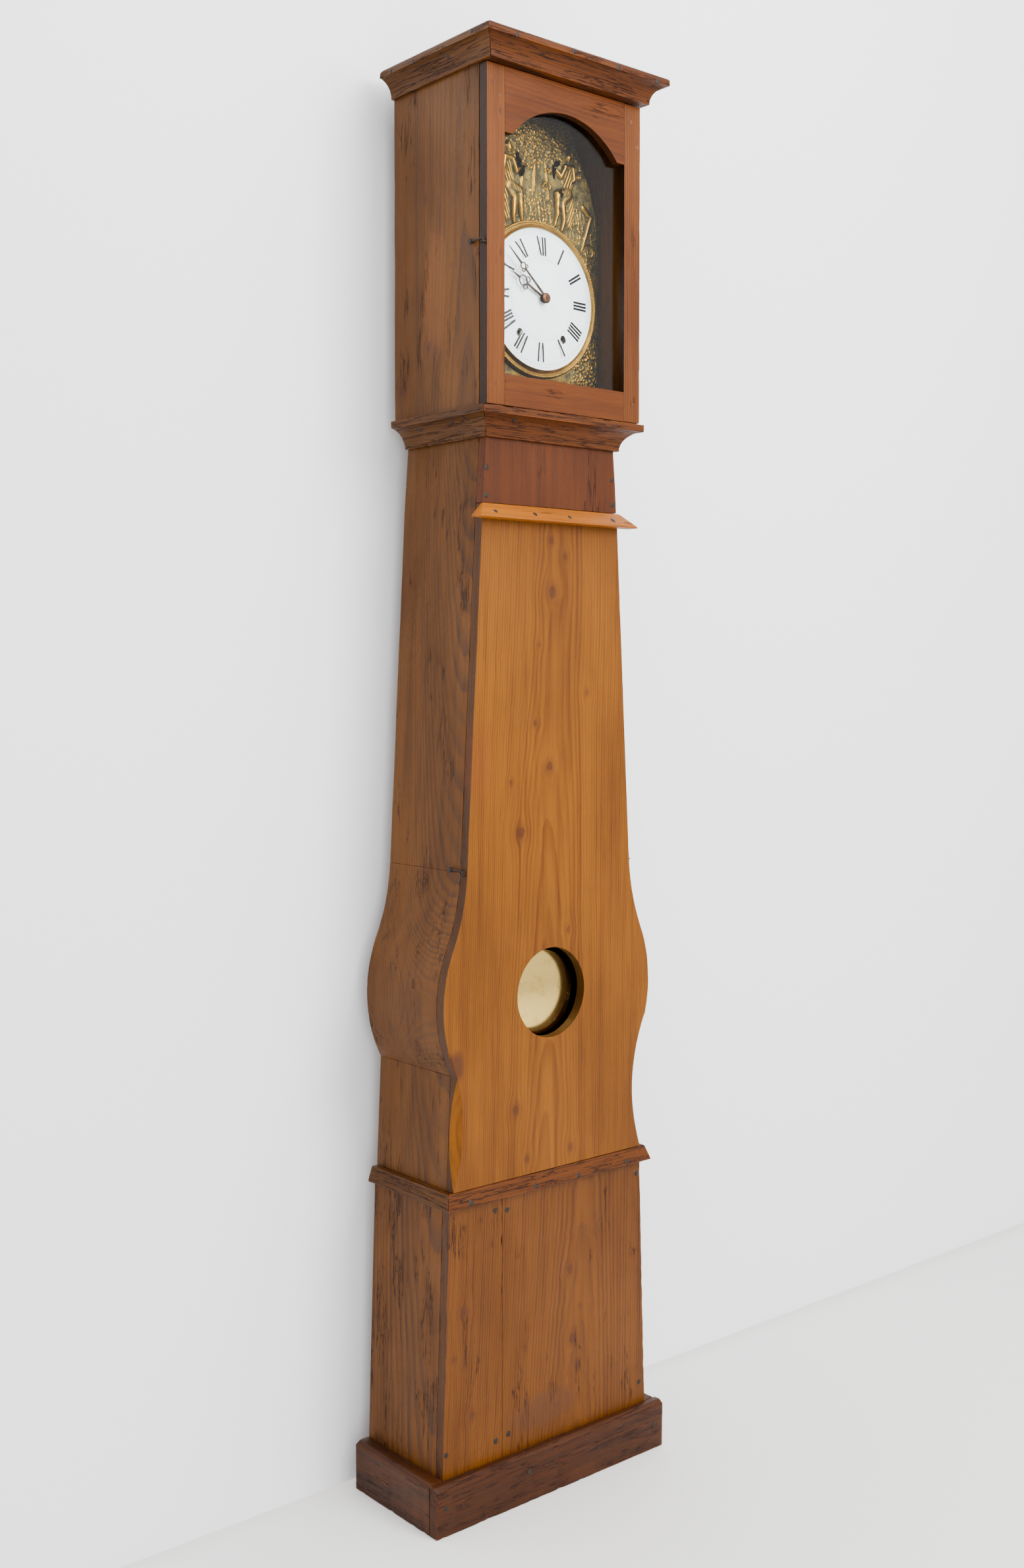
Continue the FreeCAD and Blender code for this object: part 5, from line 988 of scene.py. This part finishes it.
def makeBezel():
    low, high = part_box("bezel")
    outer = (high.x - low.x) / 2 / mm
    depth = (high.y - low.y) / mm
    # radius, lift above the back, how far into the rope, how far into the beads
    profile = [
        (outer - 0.2, 0.0, 0, 0), (outer, 1.4, 0, 0), (outer - 0.3, 2.6, 0.3, 0),
        (outer - 0.9, 3.9, 0.9, 0), (outer - 1.9, 4.9, 1, 0), (outer - 3.0, 5.1, 0.9, 0),
        (outer - 4.0, 4.5, 0.4, 0), (outer - 4.6, 3.7, 0, 0), (outer - 5.0, 3.7, 0, 0.5),
        (outer - 5.7, 4.4, 0, 1), (outer - 6.4, 4.5, 0, 1), (outer - 7.0, 3.9, 0, 0.5),
        (outer - 7.3, 3.5, 0, 0), (outer - 8.0, 3.6, 0, 0), (outer - 9.0, 4.6, 0, 0),
        (outer - 10.2, 6.6, 0, 0), (outer - 11.2, 8.7, 0, 0), (outer - 11.9, 9.6, 0, 0),
        (outer - 12.6, depth, 0, 0), (outer - 13.0, depth - 0.6, 0, 0), (outer - 13.0, depth - 3.6, 0, 0)]
    work = bmesh.new()
    centre = Vector((dialCentre.x, high.y, dialCentre.z))
    rings = []
    around = bezelShape["around"]
    for radius, lift, rope, bead in profile:
        ring = []
        for i in range(around):
            turn = 2 * math.pi * i / around
            twist = math.sin(turn * bezelShape["ropeTwists"] + (outer - radius) * 1.5)
            pearl = abs(math.sin(turn * bezelShape["beads"] / 2))
            cord = rope * bezelShape["ropeDepth"] * (twist - 0.4)
            height = lift + cord + bead * bezelShape["beadDepth"] * (pearl - 0.9)
            sway = noise.noise(Vector((math.cos(turn) * 4, math.sin(turn) * 4, radius)))
            height += sway * bezelShape["sway"]
            spot = Vector((math.cos(turn) * radius * mm, -height * mm, math.sin(turn) * radius * mm))
            ring.append(work.verts.new(centre + spot))
        rings.append(ring)
    for a, b in zip(rings, rings[1:]):
        for i in range(around):
            work.faces.new((a[i], a[(i + 1) % around], b[(i + 1) % around], b[i]))
    bmesh.ops.recalc_face_normals(work, faces=work.faces)
    made = finishMesh("bezel_rope", work, metals["bezelBrass"], 60)
    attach(made, "case")
    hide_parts("bezel")


makeBezel()
print("bezel turned")

# brass front: a pressed sheet with two seated figures under trees, scrolls and corner sprays

sheetShape = {"step": 0.9, "base": 162.0, "thickness": 0.9, "figureHigh": 6.6, "hole": 119.5}
# holes through the sheet: across, below its top, half width, half height, lean
sheetShape["piercings"] = ((-41, 76, 5.2, 13, 0.3), (-32, 92, 5.5, 10, -0.5), (44, 66, 8, 4.5, 0.5),
                           (38, 80, 3.2, 12, 0.1), (50, 115, 3.2, 6, 0.4), (-92, 74, 4, 9, -0.2))
chance = np.random.default_rng(8)
noiseTable = chance.random((64, 64))


def softNoise(x, y):
    i, j = np.floor(x).astype(int), np.floor(y).astype(int)
    u, v = x - i, y - j
    u, v = u * u * (3 - 2 * u), v * v * (3 - 2 * v)
    pick = lambda a, b: noiseTable[a % 64, b % 64]
    below = pick(i, j) * (1 - u) + pick(i + 1, j) * u
    above = pick(i, j + 1) * (1 - u) + pick(i + 1, j + 1) * u
    return below * (1 - v) + above * v


def fractal(x, y, octaves=4):
    total, share = 0, 0.5
    for k in range(octaves):
        total = total + softNoise(x * 2 ** k + 7.3 * k, y * 2 ** k + 3.1 * k) * share
        share *= 0.5
    return total


def limb(x, z, points, radii, high):
    # a rounded limb through points, swelling from one radius to the next
    best = np.zeros_like(x)
    for (ax, az), (bx, bz), r0, r1 in zip(points, points[1:], radii, radii[1:]):
        dx, dz = bx - ax, bz - az
        t = np.clip(((x - ax) * dx + (z - az) * dz) / (dx * dx + dz * dz + 1e-9), 0, 1)
        radius = r0 + (r1 - r0) * t
        near = np.hypot(x - ax - dx * t, z - az - dz * t) / radius
        best = np.maximum(best, np.sqrt(np.clip(1 - near ** 2, 0, 1)) * high * np.minimum(radius / 5, 1.15))
    return best


def oval(x, z, cx, cz, rx, rz, lean=0.0):
    c, s = math.cos(lean), math.sin(lean)
    u, v = ((x - cx) * c + (z - cz) * s) / rx, (-(x - cx) * s + (z - cz) * c) / rz
    return np.clip(1 - u * u - v * v, 0, 1)


def stamp(h, x, z, cx, cz, rx, rz, lean, high, vein=0.0):
    # one raised leaf or petal pressed into the field, worked out only where it lies
    far = max(rx, rz) + 1
    near = (np.abs(x - cx) < far) & (np.abs(z - cz) < far)
    c, s = math.cos(lean), math.sin(lean)
    dx, dz = x[near] - cx, z[near] - cz
    u, v = (dx * c + dz * s) / rx, (-dx * s + dz * c) / rz
    dome = np.clip(1 - u * u - v * v, 0, 1) ** 0.5 * high
    dome = dome - np.clip(1 - np.abs(v) * 3, 0, 1) * vein * (dome > 0)
    h[near] = np.where(dome > 0.05, np.maximum(h[near], h[near] * 0.35 + dome), h[near])


def leafSpray(h, x, z, spots, size, high):
    for cx, cz in spots:
        lean = chance.uniform(0, math.pi)
        grown = size * chance.uniform(0.7, 1.25)
        stamp(h, x, z, cx, cz, grown, grown * 0.46, lean, high * chance.uniform(0.7, 1.15), 0.5)


def figure(x, z, cx, cz, way, high):
    # a calm seated figure in loose dress; way is +1 when it looks to the right
    h = np.zeros_like(x)
    px = lambda dx: cx + way * dx
    folds = 0.8 + 0.2 * np.sin((x - cx) * 1.15 + (z - cz) * 0.5 * way + 2 * fractal(x / 16, z / 16))
    h = np.maximum(
        h,
        limb(
            x, z, [(px(-2), cz - 21), (px(-1), cz - 42), (px(4), cz - 62)], [11.5, 11, 14.5], high * 0.8
        ) * folds)
    h = np.maximum(h, limb(x, z, [(px(-9), cz - 16), (px(8), cz - 17)], [6.5, 6.0], high * 0.95))
    h = np.maximum(h, limb(x, z, [(px(2), cz - 9), (px(0), cz - 17)], [3.6, 4.0], high))
    h = np.maximum(
        h,
        limb(
            x, z, [(px(0), cz - 58), (px(-8), cz - 84), (px(-2), cz - 112)], [12, 10, 7], high * 0.62) * folds
    )
    h = np.maximum(
        h,
        limb(
            x, z, [(px(2), cz - 60), (px(24), cz - 66), (px(26), cz - 98), (px(30), cz - 116)],
            [12, 8.6, 5.6, 3.4], high) * (0.88 + 0.12 * folds))
    h = np.maximum(
        h,
        limb(
            x, z, [(px(0), cz - 62), (px(13), cz - 78), (px(10), cz - 106), (px(14), cz - 122)],
            [11, 8, 5.4, 3.4], high * 0.9))
    h = np.maximum(h, limb(x, z, [(px(24), cz - 115), (px(33), cz - 119)], [2.6, 1.8], high * 0.9))
    h = np.maximum(
        h, limb(x, z, [(px(-9), cz - 18), (px(-12), cz - 36), (px(5), cz - 47)], [5.6, 4.8, 3.4], high))
    h = np.maximum(
        h,
        limb(x, z, [(px(8), cz - 18), (px(17), cz - 35), (px(28), cz - 25)], [5.4, 4.6, 3.2], high * 1.02))
    head = np.sqrt(oval(x, z, px(0.5), cz, 7.2, 9.4, 0.06 * way)) * high * 1.15
    hair = np.sqrt(oval(x, z, px(-2), cz + 3.2, 8.6, 8.6)) * high * (
        0.95 + 0.2 * np.sin((x - cx) * 2.0 + (z - cz) * 1.2))
    face = 0.55 * oval(x, z, px(5.2), cz - 1, 1.6, 2.6) + 0.3 * oval(x, z, px(2.8), cz - 4.8, 2.2, 1.0)
    face = face - 0.35 * oval(x, z, px(3.0), cz + 1.4, 1.5, 0.9)
    return np.maximum(np.maximum(h, hair), head + face)


def makeRelief():
    low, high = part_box("brass_front")
    halfWide = (high.x - low.x) / 2 / mm
    foot, top = low.z / mm, high.z / mm
    dialAt = dialCentre.z / mm
    step = sheetShape["step"]
    xs = np.arange(-halfWide, halfWide + step / 2, step)
    zs = np.arange(foot, top, step)
    x, z = np.meshgrid(xs, zs)
    # outline: straight sides, shoulders, then a leafy arch a little under the plate's top
    ragged = (fractal(x / 9, z / 9, 3) - 0.45) * 5
    arch = np.hypot(x - 2, z - (top - 144)) < 128.5 + ragged * 0.6
    shoulder = (np.abs(x) < 141) & (z < top - 150 + (141 - np.abs(x)) * 2.2)
    inside = (z < top - 152) | arch | shoulder
    fromDial = np.hypot(x, z - dialAt)
    inside &= fromDial > sheetShape["hole"]
    # ground: hammered field with soft hills
    h = 0.7 + 0.9 * fractal(x / 22, z / 22) + 0.7 * fractal(x / 3, z / 3)
    crown = np.clip((z - (top - 72) + 12 * fractal(x / 30, z / 40)) / 14, 0, 1)
    h += crown * (0.8 + 3.0 * np.abs(fractal(x / 7, z / 5) - 0.48) + 1.2 * fractal(x / 3, z / 3))
    leafSpray(
        h, x, z,
        [
            (u, v) for u, v in zip(chance.uniform(-132, 132, 760), top - chance.uniform(8, 84, 760))
            if math.hypot(u - 2, v - top + 144) < 126],
        4.4, 3.4)
    sides = [
        (side * u, v) for side in (-1, 1)
        for u, v in zip(chance.uniform(92, 138, 150), dialAt + chance.uniform(60, 150, 150))]
    leafSpray(
        h, x, z, sides + list(zip(chance.uniform(-95, 95, 260), top - chance.uniform(118, 172, 260))), 3.6,
        2.2)
    corners = [
        (side * u, v) for side in (-1, 1)
        for u, v in zip(chance.uniform(84, 139, 210), foot + chance.uniform(3, 84, 210))]
    leafSpray(h, x, z, corners, 3.8, 2.8)
    for cx, lean, foot0 in ((-8, 0.08, -60), (24, -0.10, -66), (-38, 0.2, -80), (66, -0.25, -80)):
        trunk = limb(
            x, z, [(cx, top + foot0 - 60), (cx + 60 * lean, top - 60)], [4.6, 3.4], 3.0
        ) * (0.8 + 0.2 * np.sin(x * 2.4 + z * 0.25))
        h = np.maximum(h, 1.2 + trunk)
    # flowing drapery and grasses between the figures
    flow = np.sin(x / 2.6 + 5.5 * fractal(x / 26, z / 36) + z / 14)
    ground = np.clip(1 - np.abs(z - (top - 148)) / 44, 0, 1)
    h += ground * (0.8 * flow ** 2 + 1.6 * fractal(x / 10, z / 18))
    basket = np.sqrt(oval(x, z, 22, top - 114, 13, 9)) * 3.4 * (
        0.85 + 0.15 * np.sin(x * 1.6) * np.sin(z * 1.6))
    h = np.maximum(h, basket)
    for k in range(9):  # fruit in the basket
        turn = k * 2.4
        fruit = oval(x, z, 22 + 8 * math.cos(turn), top - 107 + 5 * math.sin(turn), 3.4, 3.0)
        h = np.maximum(h, np.sqrt(fruit) * 4.6)
    h = np.maximum(h, 0.6 + figure(x, z, -62, top - 60, 1, sheetShape["figureHigh"]))
    h = np.maximum(h, 0.6 + figure(x, z, 70, top - 51, -1, sheetShape["figureHigh"]))
    h = np.maximum(
        h,
        0.4 + limb(
            x, z, [(103, top - 128), (122, top - 142), (112, top - 172), (103, top - 196)],
            [6.4, 6.0, 4.6, 2.6], 4.6))
    h = np.maximum(
        h,
        0.4 + limb(
            x, z, [(-103, top - 128), (-120, top - 144), (-112, top - 172), (-104, top - 194)],
            [6.4, 6.0, 4.6, 2.6], 4.4))
    # scrolls and shells beside the dial, rosettes in the lower corners
    for side in (-1, 1):
        u, v = (x - side * 117) * side, z - (dialAt + 96)
        swirl = np.hypot(u, v)
        scroll = np.clip(1 - np.abs(swirl - 11 - 1.4 * np.arctan2(v, u)) / 2.2, 0, 1)
        h = np.maximum(h, 1.2 + np.sqrt(scroll) * 2.4 * (swirl < 18))
        for k in range(13):
            turn, far = k * 2.39996, 2.2 + 3.4 * math.sqrt(k)
            cx, cz = side * 121 + far * math.cos(turn) * 1.1, foot + 20 + far * math.sin(turn) * 1.1
            h = np.maximum(h, 1.0 + np.sqrt(oval(x, z, cx, cz, 3.4, 2.7, turn)) * (3.6 - 0.08 * k))
        spray = np.clip(1 - np.hypot((x - side * 124) / 17, (z - foot - 52) / 30), 0, 1)
        h += spray * 2.2 * np.abs(np.sin((x - side * 140) / 2.4 + (z - foot) / 3.6))
    # a plain border down both sides
    margin = np.clip((halfWide - np.abs(x) - 2.0) / 4.5, 0, 1) * np.clip((z - foot - 1.5) / 4, 0, 1)
    h = h * margin + 0.5 * (1 - margin)
    h = h * np.clip((fromDial - 120) / 9, 0.25, 1)
    for cx, down, rx, rz, lean in sheetShape["piercings"]:
        inside &= oval(x, z, cx, top - down, rx + ragged * 0.3, rz + ragged * 0.4, lean) < 0.02
    hollow = h.copy()
    for _ in range(3):  # a blurred copy tells hollows from crests
        padded = np.pad(hollow, 2, mode="edge")
        near = [
            padded[2 + a:2 + a + h.shape[0], 2 + b:2 + b + h.shape[1]] for a in (-2, 0, 2)
            for b in (-2, 0, 2)]
        hollow = sum(near) / len(near)
    crest = np.clip(0.5 + (h - hollow) * 0.55, 0, 1)
    work = bmesh.new()
    crestLayer = work.verts.layers.float.new("crest")
    made = {}
    for j in range(x.shape[0]):
        for i in range(x.shape[1]):
            if inside[j, i]:
                lift = sheetShape["base"] + h[j, i]
                made[j, i] = work.verts.new((x[j, i] * mm, backPlane - lift * mm, z[j, i] * mm))
                made[j, i][crestLayer] = crest[j, i]
    for (j, i), corner in made.items():
        others = [made.get(k) for k in ((j, i + 1), (j + 1, i + 1), (j + 1, i))]
        if all(others):
            work.faces.new((corner, *others))
    loose = [v for v in work.verts if not v.link_faces]
    bmesh.ops.delete(work, geom=loose, context="VERTS")
    relief = finishMesh("brass_front_relief", work, pressedBrass, 75)
    thick = relief.modifiers.new("sheetMetal", "SOLIDIFY")
    thick.thickness = sheetShape["thickness"] * mm
    thick.offset = 1.0
    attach(relief, "case")
    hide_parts("brass_front")


makeRelief()
print("brass front pressed")

# room: pale floor and wall, soft lamps, camera

room = {
    "floorHalf": 6.0, "wallGap": 0.03, "wallHigh": 5.0, "floorTint": (226, 225, 223),
    "wallTint": (243, 245, 249)}


def plainMaterial(name, tint, speck):
    made, tree, shader = newMaterial(name)
    at = addNode(tree, "TexCoord").outputs["Object"]
    grain = stretch(tree, cloud(tree, at, 700, 2.0), 0.3, 0.7, 1 - speck, 1 + speck)
    grain = addNode(tree, "CombineColor", {"Red": grain, "Green": grain, "Blue": grain}).outputs[0]
    tree.links.new(blendColour(tree, 1.0, colour(*tint), grain, "MULTIPLY"), shader.inputs["Base Color"])
    shader.inputs["Roughness"].default_value = 0.8
    return made


def clearFromBehind(material):
    # the wall is a backdrop on one side only, and lets daylight into the gap behind the case
    tree = material.node_tree
    behind = addNode(tree, "NewGeometry").outputs["Backfacing"]
    inGap = maths(tree, "LESS_THAN", addNode(tree, "LightPath").outputs["Ray Length"], room["wallGap"] * 2)
    clear = addNode(tree, "BsdfTransparent").outputs[0]
    solid = tree.nodes["Principled BSDF"].outputs[0]
    both = addNode(
        tree, "MixShader", {0: maths(tree, "MAXIMUM", behind, inGap), 1: solid, 2: clear}).outputs[0]
    tree.links.new(both, tree.nodes["Material Output"].inputs["Surface"])


def flatSheet(name, corners, material):
    mesh = bpy.data.meshes.new(name)
    mesh.from_pydata(corners, [], [(0, 1, 2, 3)])
    mesh.materials.append(material)
    made = bpy.data.objects.new(name, mesh)
    bpy.context.scene.collection.objects.link(made)
    return made


half, wallAt = room["floorHalf"], backPlane + room["wallGap"]
flatSheet(
    "studio_floor", [(-half, -half, 0), (half, -half, 0), (half, half, 0), (-half, half, 0)],
    plainMaterial("paleFloor", room["floorTint"], 0.05))
wallCorners = [
    (-half, wallAt, 0), (half, wallAt, 0), (half, wallAt, room["wallHigh"]),
    (-half, wallAt, room["wallHigh"])]
paleWall = plainMaterial("paleWall", room["wallTint"], 0.01)
clearFromBehind(paleWall)
flatSheet("studio_wall", wallCorners, paleWall)


def areaLamp(name, at, target, width, high, power, tint):
    light = bpy.data.lights.new(name, "AREA")
    light.shape, light.size, light.size_y, light.energy, light.color = "RECTANGLE", width, high, power, tint
    made = bpy.data.objects.new(name, light)
    made.location = at
    made.rotation_euler = (Vector(target) - Vector(at)).to_track_quat("-Z", "Y").to_euler()
    bpy.context.scene.collection.objects.link(made)


lamps = {
    "keySoftbox": {"at": (0.75, -3.3, 2.9), "target": (0, 0, 1.2), "width": 1.5, "high": 1.8, "power": 185,
                   "tint": (1.0, 0.985, 0.96)},
    "skyBox": {"at": (0.2, -1.8, 4.4), "target": (0, 0, 0.8), "width": 3.0, "high": 2.6, "power": 136,
               "tint": (0.97, 0.985, 1.0)},
}
air = {"tint": (0.98, 0.965, 0.945, 1), "strength": 1.7}
for lampName, lamp in lamps.items():
    areaLamp(lampName, **lamp)
world = bpy.data.worlds.new("studioAir")
world.use_nodes = True
sky = world.node_tree.nodes["Background"].inputs
sky["Color"].default_value = air["tint"]
sky["Strength"].default_value = air["strength"]
bpy.context.scene.world = world

view = {
    "sensor": 36.0, "near": 0.05, "at": (-1.820, -2.0475, 1.357), "yaw": 39.27, "pitch": 2.19,
    "roll": 0.055, "lens": 37.5, "shift": (0.0345, -0.0286)}
lensData = bpy.data.cameras.new("standingView")
lensData.lens, lensData.sensor_width = view["lens"], view["sensor"]
lensData.shift_x, lensData.shift_y = view["shift"]
lensData.clip_start = view["near"]
camera = bpy.data.objects.new("standingView", lensData)
camera.location = view["at"]
camera.rotation_euler = Euler(
    (math.radians(90 - view["pitch"]), math.radians(view["roll"]), math.radians(-view["yaw"])), "XYZ")
bpy.context.scene.collection.objects.link(camera)
bpy.context.scene.camera = camera
print("room lit")
